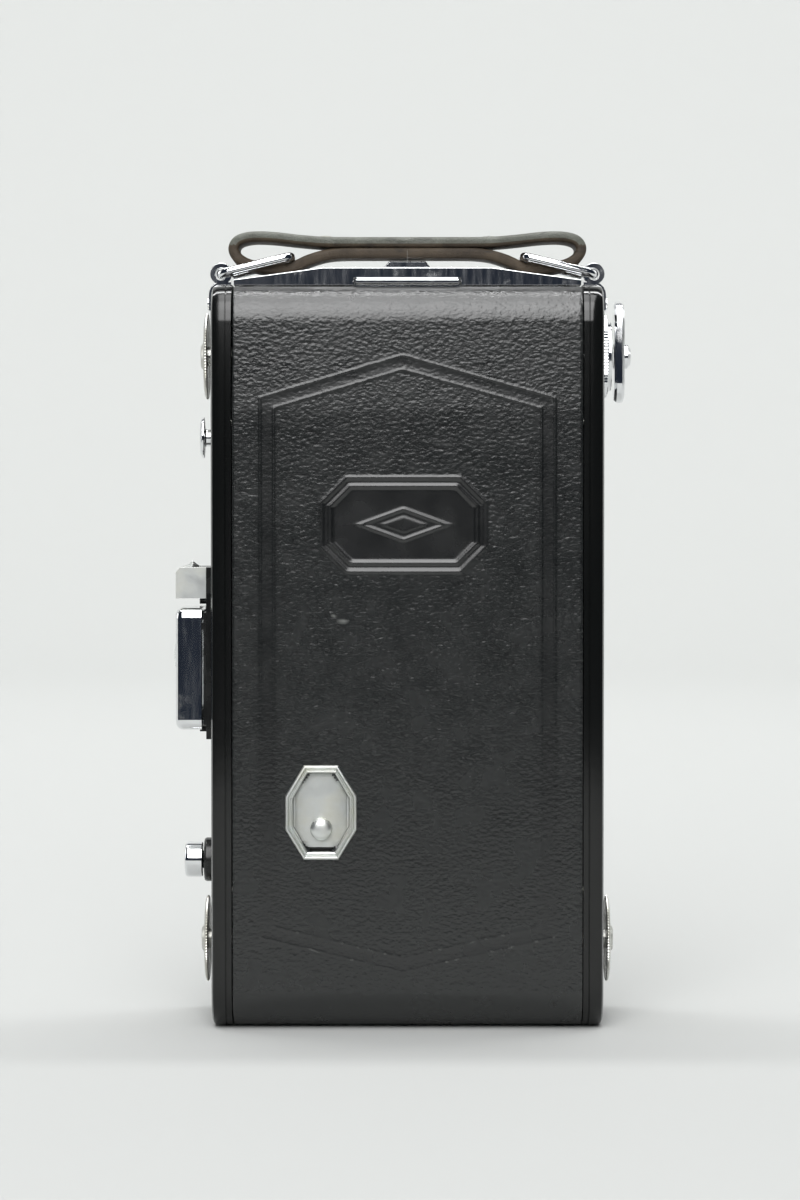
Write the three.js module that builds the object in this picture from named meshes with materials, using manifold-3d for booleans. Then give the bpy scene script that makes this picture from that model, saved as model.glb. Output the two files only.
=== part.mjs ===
// A folding roll-film camera for 6 x 9 cm pictures, folded shut and standing on its hinge end.
// Millimetres. +Z is up, -Y is the back of the camera with the film door, +Y is the bed with the lens
// behind it.
// -X is the side that carries the finder and the shutter release, +X the side that carries the winding key.
// The origin is the middle of the flat foot that the camera stands on.
import * as THREE from "three";
import Module from "manifold-3d";
import { mergeVertices } from "three/addons/utils/BufferGeometryUtils.js";

const wasm = await Module();
wasm.setup();

// ---------------------------------------------------------------- driving dimensions
const WIDTH = 81; // over the side covers
const HEIGHT = 154; // over the two ends
const BACK = -19; // outer face of the door's leather
const FRONT = 18.9; // outer face of the bed's leather
const BACK_RADIUS = 8; // the ends curve into the back
const FRONT_RADIUS = 10; // the ends curve into the front
const LEATHER = 0.4;
const GAP = 0.1; // between pieces that lie on each other
const COVER_WALL = 1.2; // side covers
const COVER_FLANGE = 4.2; // how far a side cover wraps round on to the back and the ends
const COVER_INSET = 0.2; // the covers' edges lie this far under the leather
const SEAM = { x: 37.5, half: 0.14, deep: 0.3 }; // groove that runs round each cover's flange

const HALF = WIDTH / 2;
const MID = HEIGHT / 2;
const PANEL_HALF = HALF - COVER_FLANGE - 0.2; // half width of door, bed and end shells

const SPOOL_Y = -1.5;
const SPOOL_Z = { low: 17, high: HEIGHT - 14.5 }; // the two spools' axes
const SPOOL_LENGTH = 66;
const SPOOL_FLANGE_R = 12.2;
const WALL_IN = 36.6; // inner walls beside the bellows
const WALL_OUT = 37.6;

const DOOR_HINGE = { y: -8.2, z: 1.7 };
const BED_HINGE = { y: 17.4, z: 27.4 };
const BARREL_R = 1.5; // hinge barrels
const PIN_R = 0.75;
const BORE_R = 0.95;

const LENS_Z = 97; // lens axis with the camera folded
const LINK = 1; // thickness of struts and stays

const WINDOW = { x: -17.8, z: 45.1 }; // centre of the film-number window's bezel
const PIP_Z = 41.6; // the window shutter's pip, over the red glass
const SHUTTER_TRAVEL = 8.8;
const EYELET = { x: 38.9, z: 156.6, r: 2.3, bore: 1.25 };
const RING_END = { x: 24.4, z: 160.1 };
const RING_HALF = 7;
const WIRE_R = 0.95;
const STRAP_HALF = 5.8;
const STRAP_THICK = 2;

// ---------------------------------------------------------------- materials
const finish = (color, roughness, metalness, extra = {}) =>
  new THREE.MeshStandardMaterial({ color, roughness, metalness, ...extra });
const enamel = finish(0x1b1c1b, 0.28, 0.1);
const leather = finish(0x2b2d2c, 0.62, 0);
const chrome = finish(0xd4d7d8, 0.12, 1);
const nickel = finish(0xb9bbb4, 0.35, 1);
const blackened = finish(0x151515, 0.6, 0.3);
const hide = finish(0x4a4740, 0.7, 0);
const glass = finish(0x9fb0b8, 0.05, 0, { transparent: true, opacity: 0.35 });
const rubyGlass = finish(0x8c1414, 0.1, 0);
const wood = finish(0x6b4a30, 0.6, 0);

// ---------------------------------------------------------------- shapes
// Places drawn on a plane: "x" takes (y, z) points and runs along X, "y" takes (x, z), "z" takes (x, y).
const TO_WORLD = {
  x: (u, v, w) => [w, u, v],
  y: (u, v, w) => [u, w, v],
  z: (u, v, w) => [u, v, w],
};

function solidOf(geometry) {
  let bare = geometry.index ? geometry.toNonIndexed() : geometry.clone();
  bare = new THREE.BufferGeometry().setAttribute("position", bare.getAttribute("position"));
  const merged = mergeVertices(bare, 1e-3);
  const mesh = new wasm.Mesh({
    numProp: 3,
    vertProperties: merged.attributes.position.array,
    triVerts: new Uint32Array(merged.index.array),
  });
  return new wasm.Manifold(mesh);
}

function geometryOf(solid) {
  const mesh = solid.getMesh();
  const places = new Float32Array(mesh.numVert * 3);
  for (let i = 0; i < mesh.numVert; i++) {
    places.set(mesh.vertProperties.subarray(i * mesh.numProp, i * mesh.numProp + 3), i * 3);
  }
  const geometry = new THREE.BufferGeometry();
  geometry.setAttribute("position", new THREE.BufferAttribute(places, 3));
  geometry.setIndex(new THREE.BufferAttribute(new Uint32Array(mesh.triVerts), 1));
  return geometry;
}

const join = (...pieces) => geometryOf(pieces.map(solidOf).reduce((a, b) => a.add(b)));
const cut = (piece, ...tools) =>
  geometryOf(tools.map(solidOf).reduce((a, b) => a.subtract(b), solidOf(piece)));

// A closed surface from triangles of points, turned so that its faces point out.
function closedSurface(points, triangles) {
  let volume = 0;
  for (const [a, b, c] of triangles) {
    const [p, q, r] = [points[a], points[b], points[c]];
    volume += p[0] * (q[1] * r[2] - q[2] * r[1]);
    volume += p[1] * (q[2] * r[0] - q[0] * r[2]) + p[2] * (q[0] * r[1] - q[1] * r[0]);
  }
  const faces = volume < 0 ? triangles.map(([a, b, c]) => [a, c, b]) : triangles;
  const geometry = new THREE.BufferGeometry();
  geometry.setAttribute("position", new THREE.Float32BufferAttribute(points.flat(), 3));
  geometry.setIndex(faces.flat());
  return geometry;
}

function wallTriangles(rings, size, loop) {
  const triangles = [];
  const spans = loop ? rings : rings - 1;
  for (let i = 0; i < spans; i++) {
    const next = (i + 1) % rings;
    for (let k = 0; k < size; k++) {
      const a = i * size + k;
      const b = i * size + ((k + 1) % size);
      const c = next * size + k;
      const d = next * size + ((k + 1) % size);
      triangles.push([a, b, d], [a, d, c]);
    }
  }
  return triangles;
}

// A solid through outlines of equal length: sections are [place along the axis, outline].
function loft(axis, sections) {
  const size = sections[0][1].length;
  const points = sections.flatMap(([w, outline]) => outline.map(([u, v]) => TO_WORLD[axis](u, v, w)));
  const triangles = wallTriangles(sections.length, size, false);
  const cap = (outline, offset, isLast) => {
    const flat = outline.map(([u, v]) => new THREE.Vector2(u, v));
    // the cap runs against the first wall's edge, so it follows the way that the outline is drawn
    const keep = isLast !== THREE.ShapeUtils.isClockWise(flat);
    for (const [a, b, c] of THREE.ShapeUtils.triangulateShape(flat, [])) {
      const [p, q, r] = [flat[a], flat[b], flat[c]];
      const counter = (q.x - p.x) * (r.y - p.y) - (q.y - p.y) * (r.x - p.x) > 0;
      triangles.push((counter === keep ? [a, b, c] : [a, c, b]).map((i) => i + offset));
    }
  };
  const last = sections.length - 1;
  cap(sections[0][1], 0, false);
  cap(sections[last][1], last * size, true);
  return closedSurface(points, triangles);
}

// A ring-shaped solid through outlines that close on themselves.
function loftLoop(rings) {
  return closedSurface(rings.flat(), wallTriangles(rings.length, rings[0].length, true));
}

const prism = (axis, outline, from, to) => loft(axis, [[from, outline], [to, outline]]);

function box(x0, x1, y0, y1, z0, z1) {
  const geometry = new THREE.BoxGeometry(x1 - x0, y1 - y0, z1 - z0);
  return geometry.translate((x0 + x1) / 2, (y0 + y1) / 2, (z0 + z1) / 2);
}

// A turned solid round an axis through centre; profile is [radius, place along the axis] from axis to axis.
function turned(axis, centre, profile, sides = 32) {
  const geometry = new THREE.LatheGeometry(profile.map(([r, h]) => new THREE.Vector2(r, h)), sides);
  if (axis === "x") geometry.rotateZ(-Math.PI / 2);
  if (axis === "z") geometry.rotateX(Math.PI / 2);
  geometry.translate(centre.x ?? 0, centre.y ?? 0, centre.z ?? 0);
  return outward(geometry);
}

function outward(geometry) {
  const plain = mergeVertices(
    new THREE.BufferGeometry().setAttribute(
      "position",
      (geometry.index ? geometry.toNonIndexed() : geometry).getAttribute("position"),
    ),
    1e-4,
  );
  const place = plain.attributes.position;
  const points = Array.from({ length: place.count }, (_, i) => [place.getX(i), place.getY(i),
    place.getZ(i)]);
  const triangles = [];
  for (let i = 0; i < plain.index.count; i += 3) {
    const [a, b, c] = [0, 1, 2].map((k) => plain.index.getX(i + k));
    if (a !== b && b !== c && a !== c) triangles.push([a, b, c]);
  }
  return closedSurface(points, triangles);
}

const rod = (axis, centre, r, from, to, sides = 24) =>
  turned(axis, centre, [[0, from], [r, from], [r, to], [0, to]], sides);

const ring = (axis, centre, inner, outer, from, to, sides = 32) =>
  turned(axis, centre, [[inner, from], [outer, from], [outer, to], [inner, to], [inner, from]], sides);

function arc(cx, cy, r, from, to, steps) {
  const points = [];
  for (let i = 0; i <= steps; i++) {
    const angle = THREE.MathUtils.degToRad(from + ((to - from) * i) / steps);
    points.push([cx + r * Math.cos(angle), cy + r * Math.sin(angle)]);
  }
  return points;
}

const mirrorX = (geometry) => outward(geometry.clone().scale(-1, 1, 1));
const flipZ = (outline) => outline.map(([y, z]) => [y, HEIGHT - z]);

// ---------------------------------------------------------------- assembly
const camera = new THREE.Group();
const bodies = {};

function add(body, name, geometry, material) {
  if (!bodies[body]) {
    bodies[body] = new THREE.Group();
    camera.add(bodies[body]);
  }
  const mesh = new THREE.Mesh(geometry, material);
  mesh.name = name;
  bodies[body].add(mesh);
}

// ---------------------------------------------------------------- the chassis
// The covers' outline seen from the side: two back corners and two front corners.
function sideOutline(inset) {
  const back = BACK + COVER_INSET + inset;
  const front = FRONT - COVER_INSET + inset * -1;
  const rb = BACK_RADIUS - inset;
  const rf = FRONT_RADIUS - inset;
  return [
    ...arc(back + rb, inset + rb, rb, 180, 270, 8),
    ...arc(front - rf, inset + rf, rf, 270, 360, 8),
    ...arc(front - rf, HEIGHT - inset - rf, rf, 0, 90, 8),
    ...arc(back + rb, HEIGHT - inset - rb, rb, 90, 180, 8),
  ];
}

function sideCover(side, holes) {
  const floor = HALF - COVER_WALL;
  const rim = HALF - COVER_FLANGE;
  const dish = loft("x", [
    [side * floor, sideOutline(COVER_WALL)],
    [side * rim, sideOutline(COVER_WALL)],
    [side * rim, sideOutline(0)],
    [side * (SEAM.x - SEAM.half), sideOutline(0)],
    [side * (SEAM.x - SEAM.half / 2), sideOutline(SEAM.deep)],
    [side * (SEAM.x + SEAM.half / 2), sideOutline(SEAM.deep)],
    [side * (SEAM.x + SEAM.half), sideOutline(0)],
    [side * (HALF - 1.2), sideOutline(0)],
    [side * (HALF - 0.35), sideOutline(0.35)],
    [side * HALF, sideOutline(1.2)],
  ]);
  const drills = holes.map(([y, z, r]) => rod("x", { y, z }, r, side * HALF - 3, side * HALF + 3, 24));
  return cut(dish, ...drills);
}

const KNOB_HOLE = 2.7;
const RELEASE = { y: 0, z: 33.5 };
const BED_BUTTON = { y: 0, z: 122.5 };
const TRIPOD = { y: 0, z: MID };
const UPPER_SPOOL = { y: SPOOL_Y, z: SPOOL_Z.high };
const LOWER_SPOOL = { y: SPOOL_Y, z: SPOOL_Z.low };

add("chassis", "side_cover_left", sideCover(-1, [
  [UPPER_SPOOL.y, UPPER_SPOOL.z, KNOB_HOLE],
  [LOWER_SPOOL.y, LOWER_SPOOL.z, KNOB_HOLE],
  [RELEASE.y, RELEASE.z, 2.2],
  [BED_BUTTON.y, BED_BUTTON.z, 2.3],
]), enamel);
add("chassis", "side_cover_right", sideCover(1, [
  [UPPER_SPOOL.y, UPPER_SPOOL.z, 3.4],
  [LOWER_SPOOL.y, LOWER_SPOOL.z, KNOB_HOLE],
  [TRIPOD.y, TRIPOD.z, 6.2],
]), enamel);

// The end shells close the two spool chambers. The lower one is drawn, the upper one is its mirror.
const SHELL = LEATHER + GAP; // the shell's outer face lies this far under the leather
const SHELL_WALL = 1.2;
const SHELL_TOP = 25.6; // front edge beside the bed's hinge
function shellStrip(inset, wall) {
  const r = FRONT_RADIUS - inset;
  const cy = FRONT - FRONT_RADIUS;
  const outer = [[4, inset], ...arc(cy, FRONT_RADIUS, r, 270, 360, 8), [FRONT - inset, SHELL_TOP]];
  const q = r - wall;
  const inner = [[FRONT - inset - wall, SHELL_TOP], ...arc(cy, FRONT_RADIUS, q, 360, 270, 8), [4,
    inset + wall]];
  return [...outer, ...inner];
}
// The wall between a spool chamber and the bellows; the lower spool sits higher and its wall gives it room.
const upperWall = [[17.3, 24.4], [17.3, 25.4], [-10.4, 29.5], [-10.4, 28.6]];
const lowerWall = [
  [17.3, 24.4], [17.3, 25.4], [10.6, 27.6], [7.9, 30.6], [-10.4, 30.6], [-10.4, 29.7], [7.5, 29.7],
    [10.2, 26.7],
];
function endShell(flip, partition, foot) {
  const way = flip ? flipZ : (outline) => outline;
  return join(
    prism("x", way(shellStrip(SHELL, SHELL_WALL)), -PANEL_HALF, PANEL_HALF),
    prism("x", way(partition), -PANEL_HALF, PANEL_HALF),
    prism("x", way(foot), -PANEL_HALF, PANEL_HALF),
  );
}
function hingeEars(hinge, x0, x1, web) {
  const pieces = [];
  for (const side of [-1, 1]) {
    pieces.push(rod("x", hinge, BARREL_R, Math.min(side * x0, side * x1), Math.max(side * x0,
      side * x1), 20));
    pieces.push(prism("x", web, Math.min(side * x0, side * x1), Math.max(side * x0, side * x1)));
  }
  return pieces;
}
const rectangle = (u0, u1, v0, v1) => [[u0, v0], [u1, v0], [u1, v1], [u0, v1]];
const FOOT_FRONT = 7.5;
const lowerShell = cut(
  join(
    endShell(false, lowerWall, rectangle(-6, FOOT_FRONT, 0, 1.7)),
    ...hingeEars(DOOR_HINGE, 20.4, 34, rectangle(-8.2, -5.5, 0.35, 1.15)),
    ...hingeEars(BED_HINGE, 25, 35, rectangle(17.3, 18.3, 25, 27.4)),
  ),
  rod("x", DOOR_HINGE, BORE_R, -PANEL_HALF, PANEL_HALF, 16),
  rod("x", BED_HINGE, BORE_R, -PANEL_HALF, PANEL_HALF, 16),
);
add("chassis", "lower_shell", lowerShell, enamel);
add("chassis", "upper_shell", endShell(true, upperWall, rectangle(-9.3, FOOT_FRONT, 0.3, 1.7)), enamel);

function frontLeather(flip) {
  const r = FRONT_RADIUS;
  const cy = FRONT - r;
  const outline = [
    ...arc(cy, r, r - 0.1, 270, 360, 8), [FRONT - 0.1, SHELL_TOP - 0.2],
    [FRONT - LEATHER, SHELL_TOP - 0.2], ...arc(cy, r, r - LEATHER, 360, 270, 8),
  ];
  return prism("x", flip ? flipZ(outline) : outline, -PANEL_HALF, PANEL_HALF);
}
add("chassis", "lower_front_leather", frontLeather(false), leather);
add("chassis", "upper_front_leather", frontLeather(true), leather);

// Inner walls, film gate and rollers.
const ROLLER = { y: -12.8, r: 1.7, z: 28.4 };
const STRUT_PIVOT = { y: 14, z: 30 };
const STAY_PIN = { y: 10, z: 98 };
function innerWall(side, holes) {
  const plate = box(WALL_IN, WALL_OUT, -14.2, 16.9, 26.5, HEIGHT - 26.5);
  const pivot = rod("x", STRUT_PIVOT, 1, 32.1, 37, 16);
  const stop = rod("x", STAY_PIN, 1, 35, 37, 16);
  const wall = join(plate, pivot, stop);
  const drills = [[ROLLER.y, ROLLER.z, 1.1], [ROLLER.y, HEIGHT - ROLLER.z, 1.1], ...holes];
  const made = cut(wall, ...drills.map(([y, z, r]) => rod("x", { y, z }, r, 35.5, 39, 16)));
  return side < 0 ? mirrorX(made) : made;
}
add("chassis", "inner_wall_left", innerWall(-1, [[RELEASE.y, RELEASE.z, 2.2], [BED_BUTTON.y,
  BED_BUTTON.z, 2.3]]), blackened);
add("chassis", "inner_wall_right", innerWall(1, []), blackened);

const GATE = { y0: -14.2, y1: -13.2, z0: 31, z1: 123, halfX: 28, low: 33, high: 121 };
const gatePlate = cut(
  box(-36.3, 36.3, GATE.y0, GATE.y1, GATE.z0, GATE.z1),
  box(-GATE.halfX, GATE.halfX, GATE.y0 - 1, GATE.y1 + 1, GATE.low, GATE.high),
);
const rails = [-32.5, 31].map((x) => box(x, x + 1.5, GATE.y0 - 0.5, GATE.y0 + 0.2, GATE.z0, GATE.z1));
const gateLips = [[GATE.z0, GATE.z0 + 1], [GATE.z1 - 1, GATE.z1]].map(([a, b]) =>
  box(-36.3, 36.3, GATE.y0, -9.5, a, b));
add("chassis", "film_gate", join(gatePlate, ...rails, ...gateLips), blackened);

for (const [name, z] of [["lower", ROLLER.z], ["upper", HEIGHT - ROLLER.z]]) {
  const profile = [[0, -37.3], [0.8, -37.3], [0.8, -35], [ROLLER.r, -35], [ROLLER.r, 35], [0.8, 35],
    [0.8, 37.3], [0, 37.3]];
  add(`roller_${name}`, `guide_roller_${name}`, turned("x", { y: ROLLER.y, z }, profile, 16), nickel);
}

add("chassis", "door_hinge_pin", rod("x", DOOR_HINGE, PIN_R, -34, 34, 16), nickel);
add("chassis", "bed_hinge_pin", rod("x", BED_HINGE, PIN_R, -35, 35, 16), nickel);
add("chassis", "tripod_bush", ring("x", TRIPOD, 4.2, 6, 37.9, HALF, 32), chrome);

// ---------------------------------------------------------------- spools and their knobs
const spoolCore = 5.6;
const halfSpool = SPOOL_LENGTH / 2;
const takeUp = turned("x", UPPER_SPOOL, [
  [0, -28.5], [2.7, -28.5], [2.7, -halfSpool], [SPOOL_FLANGE_R, -halfSpool], [SPOOL_FLANGE_R,
    0.8 - halfSpool],
  [spoolCore, 0.8 - halfSpool], [spoolCore, halfSpool - 0.8], [SPOOL_FLANGE_R, halfSpool - 0.8],
  [SPOOL_FLANGE_R, halfSpool], [3.3, halfSpool], [3.3, 28.5], [0, 28.5],
], 32);
add("winder", "take_up_spool", takeUp, wood);

const knobProfile = [
  [0, 31], [2.1, 31], [2.1, 41.7], [9, 41.7], [9, 42.2], [8.4, 42.5], [3, 42.5], [2.6, 43.3], [0, 43.3],
];
const spoolKnob = (side, at) => turned("x", at, knobProfile.map(([r, h]) => [r, side * h]), 32);
add("knob_upper", "spool_knob_upper", spoolKnob(-1, UPPER_SPOOL), nickel);
add("knob_lower_left", "spool_knob_lower_left", spoolKnob(-1, LOWER_SPOOL), nickel);
add("knob_lower_right", "spool_knob_lower_right", spoolKnob(1, LOWER_SPOOL), nickel);

const winderShaft = turned("x", UPPER_SPOOL, [
  [0, 29], [2.6, 29], [2.6, 40.7], [8.6, 40.7], [8.6, 41.9], [7.4, 42.1], [7.4, 42.6], [3.4, 42.8],
    [3.4, 43], [0, 43],
], 32);
add("winder", "winding_shaft", winderShaft, chrome);
const KEY = { low: 9.7, high: 11.5, halfWidth: 4.4, from: 43.3, to: 45.4 };
const keyOutline = (inset) => {
  const r = KEY.halfWidth - inset;
  const top = KEY.high - KEY.halfWidth;
  const bottom = KEY.halfWidth - KEY.low;
  return [...arc(0, top, r, 0, 180, 10), ...arc(0, bottom, r, 180, 360, 10)]
    .map(([y, z]) => [y + UPPER_SPOOL.y, z + UPPER_SPOOL.z]);
};
const keyWing = loft("x", [
  [KEY.from, keyOutline(0.5)], [KEY.from + 0.5, keyOutline(0)], [KEY.to - 0.5, keyOutline(0)], [KEY.to,
    keyOutline(0.5)],
]);
const keyBoss = turned("x", UPPER_SPOOL, [[0, 43.2], [2.6, 43.2], [2.6, 46.2], [1.8, 46.8], [0, 46.9]], 24);
add("winder", "winding_key", join(keyWing, keyBoss), chrome);

// ---------------------------------------------------------------- buttons
add("chassis", "release_collar", turned("x", RELEASE, [
  [2.1, -40.6], [4.65, -40.6], [4.65, -42.4], [4.35, -42.8], [3.9, -42.8], [3.9, -41], [2.1, -41],
    [2.1, -40.6],
], 32), blackened);
add("release", "shutter_release", turned("x", RELEASE, [
  [0, -46.9], [3.3, -46.9], [3.7, -46.4], [3.7, -43.1], [1.7, -43.1], [1.7, -38.2], [0, -38.2],
], 32), chrome);
add("bed_release", "bed_button", turned("x", BED_BUTTON, [
  [0, -43.6], [3.6, -43.5], [4.3, -43.1], [4.3, -42.6], [1.8, -42.4], [1.8, -38.4], [0, -38.4],
], 32), chrome);

// ---------------------------------------------------------------- back door
function doorStrip(inset, wall, endTop, endBottom) {
  const r = BACK_RADIUS - inset;
  const cy = BACK + BACK_RADIUS;
  const lift = 0.1; // the door clears the surface that the camera stands on
  const low = BACK_RADIUS + lift;
  const high = HEIGHT - BACK_RADIUS - lift;
  const q = r - wall;
  return [
    [endTop, high + r], ...arc(cy, high, r, 90, 180, 8), ...arc(cy, low, r, 180, 270, 8), [endBottom,
      low - r],
    [endBottom, low - q], ...arc(cy, low, q, 270, 180, 8), ...arc(cy, high, q, 180, 90, 8), [endTop,
      high + q],
  ];
}
const DOOR_TOP_EDGE = -9.7;
const DOOR_BOTTOM_EDGE = -9.9;
const DOOR_SHEET = 0.8;
const DOOR_INNER = BACK + SHELL + DOOR_SHEET; // inner face of the door's sheet
const windowOutline = (halfX, halfZ, inset) => {
  const cornerX = halfX * 0.48;
  const cornerZ = halfZ * 0.36;
  const kx = (halfX - inset) / halfX;
  const kz = (halfZ - inset) / halfZ;
  return [
    [cornerX, halfZ], [halfX, cornerZ], [halfX, -cornerZ], [cornerX, -halfZ],
    [-cornerX, -halfZ], [-halfX, -cornerZ], [-halfX, cornerZ], [-cornerX, halfZ],
  ].map(([x, z]) => [WINDOW.x + x * kx, WINDOW.z + z * kz]).reverse();
};
const windowHole = prism("y", windowOutline(5.7, 8.0, 0), BACK - 2, DOOR_INNER + 0.3);

const SHUTTER = { low: PIP_Z - 3.8, high: WINDOW.z + 9.6 };
const guidePiece = (x0, x1, y0, y1) =>
  box(WINDOW.x + x0, WINDOW.x + x1, DOOR_INNER + y0, DOOR_INNER + y1, 35,
    SHUTTER.high + SHUTTER_TRAVEL + 0.9);
const doorShell = cut(
  join(
    prism("x", doorStrip(SHELL, DOOR_SHEET, DOOR_TOP_EDGE, DOOR_BOTTOM_EDGE), -PANEL_HALF, PANEL_HALF),
    box(-20, 20, -10.5, -8.2, 0.7, 1.5),
    rod("x", DOOR_HINGE, BARREL_R, -20, 20, 20),
    ...[-1, 1].map((s) => box(Math.min(s * 35, s * 36), Math.max(s * 35, s * 36), DOOR_INNER - 0.3,
      -15.2, 10, 144)),
    // guide behind the window's shutter
    guidePiece(-7.6, 7.6, 0.65, 1.15),
    guidePiece(-7.6, -6.9, -0.3, 0.8),
    guidePiece(6.9, 7.6, -0.3, 0.8),
  ),
  rod("x", DOOR_HINGE, BORE_R, -21, 21, 16),
  windowHole,
  rod("y", { x: WINDOW.x, z: PIP_Z }, 3.9, DOOR_INNER + 0.4, DOOR_INNER + 2, 24),
);
add("back_door", "door_shell", doorShell, enamel);
add("back_door", "door_leather", cut(
  prism("x", doorStrip(0, LEATHER, DOOR_TOP_EDGE, DOOR_BOTTOM_EDGE), -PANEL_HALF, PANEL_HALF),
  windowHole,
), leather);
add("back_door", "latch_tongue", box(-10.7, 10.7, -12.4, -5.2, 154.3, 155.1), chrome);

const bezelRing = (halfX, halfZ, y) => windowOutline(halfX, halfZ, 0).map(([x, z]) => [x, y, z]);
add("back_door", "window_bezel", loftLoop([
  bezelRing(7.4, 9.75, BACK - 0.1), bezelRing(7.4, 9.75, BACK - 0.7), bezelRing(6.9, 9.25, BACK - 1.2),
  bezelRing(6.4, 8.7, BACK - 1.2), bezelRing(5.7, 8.0, BACK - 0.5), bezelRing(5.7, 8.0, BACK - 0.1),
]), chrome);
add("back_door", "red_window", rod("y", { x: WINDOW.x, z: PIP_Z }, 3.7, DOOR_INNER + 0.7,
  DOOR_INNER + 1.1, 24), rubyGlass);
add("window_cover", "window_shutter", join(
  box(WINDOW.x - 6.6, WINDOW.x + 6.6, DOOR_INNER + 0.1, DOOR_INNER + 0.5, SHUTTER.low, SHUTTER.high),
  turned("y", { x: WINDOW.x, z: PIP_Z }, [
    [0, DOOR_INNER + 0.3], [1.6, DOOR_INNER + 0.3], [1.6, -19.2], [1.1, -19.7], [0, -19.9],
  ], 20),
), nickel);

// Pressure plate on its leaf spring.
const PLATE = { y0: -16.1, y1: -15.3 };
add("pressure", "pressure_plate", cut(
  box(-33.5, 33.5, PLATE.y0, PLATE.y1, 32, 122),
  rod("y", { x: WINDOW.x, z: PIP_Z }, 4.5, PLATE.y0 - 1, PLATE.y1 + 1, 24),
), blackened);
const spring = [[-17.6, 60], [-17.0, 60], [-16.25, 70], [-16.25, 84], [-17.0, 94], [-17.6, 94], [-16.9,
  84], [-16.9, 70]];
add("back_door", "pressure_spring", prism("x", spring, -6, 6), nickel);

// ---------------------------------------------------------------- strap end: latch, lugs, rings and strap
const BRIDGE = { flat: 17.6, end: 35.6, top: 157.8, low: 155.3, sheet: 0.8, halfY: 8 };
const bridgeTop = [
  [-BRIDGE.end - 0.6, 154.1], [-BRIDGE.end - 0.6, BRIDGE.low], [-BRIDGE.flat, BRIDGE.top],
    [BRIDGE.flat, BRIDGE.top],
  [BRIDGE.end + 0.6, BRIDGE.low], [BRIDGE.end + 0.6, 154.1],
];
const bridgeUnder = [
  [BRIDGE.end - 0.2, 154.1], [BRIDGE.end - 0.2, BRIDGE.low - BRIDGE.sheet], [BRIDGE.flat,
    BRIDGE.top - BRIDGE.sheet],
  [-BRIDGE.flat, BRIDGE.top - BRIDGE.sheet], [-BRIDGE.end + 0.2, BRIDGE.low - BRIDGE.sheet],
    [-BRIDGE.end + 0.2, 154.1],
];
const bridge = cut(
  prism("y", bridgeTop, -BRIDGE.halfY, BRIDGE.halfY),
  prism("y", [...bridgeUnder.slice(0, 1).map(([x]) => [x, 153]), ...bridgeUnder.slice(1, 5),
    [-BRIDGE.end + 0.2, 153]], -7.2, 7.2),
  box(-11.2, 11.2, -9, -7, 153, 155.6),
  box(-2.2, 5.4, -1.9, 1.9, 156, 159),
);
add("chassis", "latch_bridge", bridge, chrome);
add("latch", "latch_slide", join(
  prism("y", [[-4.9, 158], [4.9, 158], [3.8, 159.4], [-3.8, 159.4]], -3.2, 3.2),
  box(-1.6, 1.6, -1.5, 1.5, 155.8, 158.2),
  box(-12, 12, -6.6, 6.6, 155.4, 156.1),
), chrome);

function strapLug() {
  const centre = [38.8, 152.3];
  const strip = [
    [36.8, 154.25], ...arc(...centre, 1.95, 90, 0, 5), [40.75, 148.9],
    [41.5, 148.9], ...arc(...centre, 2.7, 0, 90, 5), [36.8, 155],
  ];
  const half = 5.5;
  const lug = join(
    prism("y", strip, -half, half),
    rod("y", EYELET, EYELET.r, -half, half, 20),
    rod("x", { y: 0, z: 150.7 }, 1.3, 41.2, 42, 16),
  );
  return cut(lug, rod("y", EYELET, EYELET.bore, -half - 1, half + 1, 16));
}
add("chassis", "strap_lug_right", strapLug(), nickel);
add("chassis", "strap_lug_left", mirrorX(strapLug()), nickel);

// A closed ring of wire in the plane through the eyelet and the ring's far bar.
function strapRing() {
  const reach = new THREE.Vector3(RING_END.x - EYELET.x, 0, RING_END.z - EYELET.z);
  const length = reach.length();
  const along = reach.normalize();
  const across = new THREE.Vector3(0, 1, 0);
  const normal = new THREE.Vector3().crossVectors(along, across);
  const bend = 1.6;
  const corners = [[0, -RING_HALF], [0, RING_HALF], [length, RING_HALF], [length, -RING_HALF]];
  const path = corners.flatMap(([u, v], i) => {
    const cu = u ? length - bend : bend;
    const cv = v > 0 ? RING_HALF - bend : bend - RING_HALF;
    return arc(cu, cv, bend, 180 - 90 * i + 90, 180 - 90 * i, 4);
  });
  const rings = path.map(([u, v], i) => {
    const [pu, pv] = path[(i + path.length - 1) % path.length];
    const [nu, nv] = path[(i + 1) % path.length];
    const tangent = new THREE.Vector2(nu - pu, nv - pv).normalize();
    return arc(0, 0, WIRE_R, 0, 315, 7).map(([a, b]) => {
      const place = new THREE.Vector3(EYELET.x, 0, EYELET.z)
        .addScaledVector(along, u + a * tangent.y)
        .addScaledVector(across, v - a * tangent.x)
        .addScaledVector(normal, b);
      return place.toArray();
    });
  });
  return loftLoop(rings);
}
add("ring_right", "strap_ring_right", strapRing(), chrome);
add("ring_left", "strap_ring_left", mirrorX(strapRing()), chrome);

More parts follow.
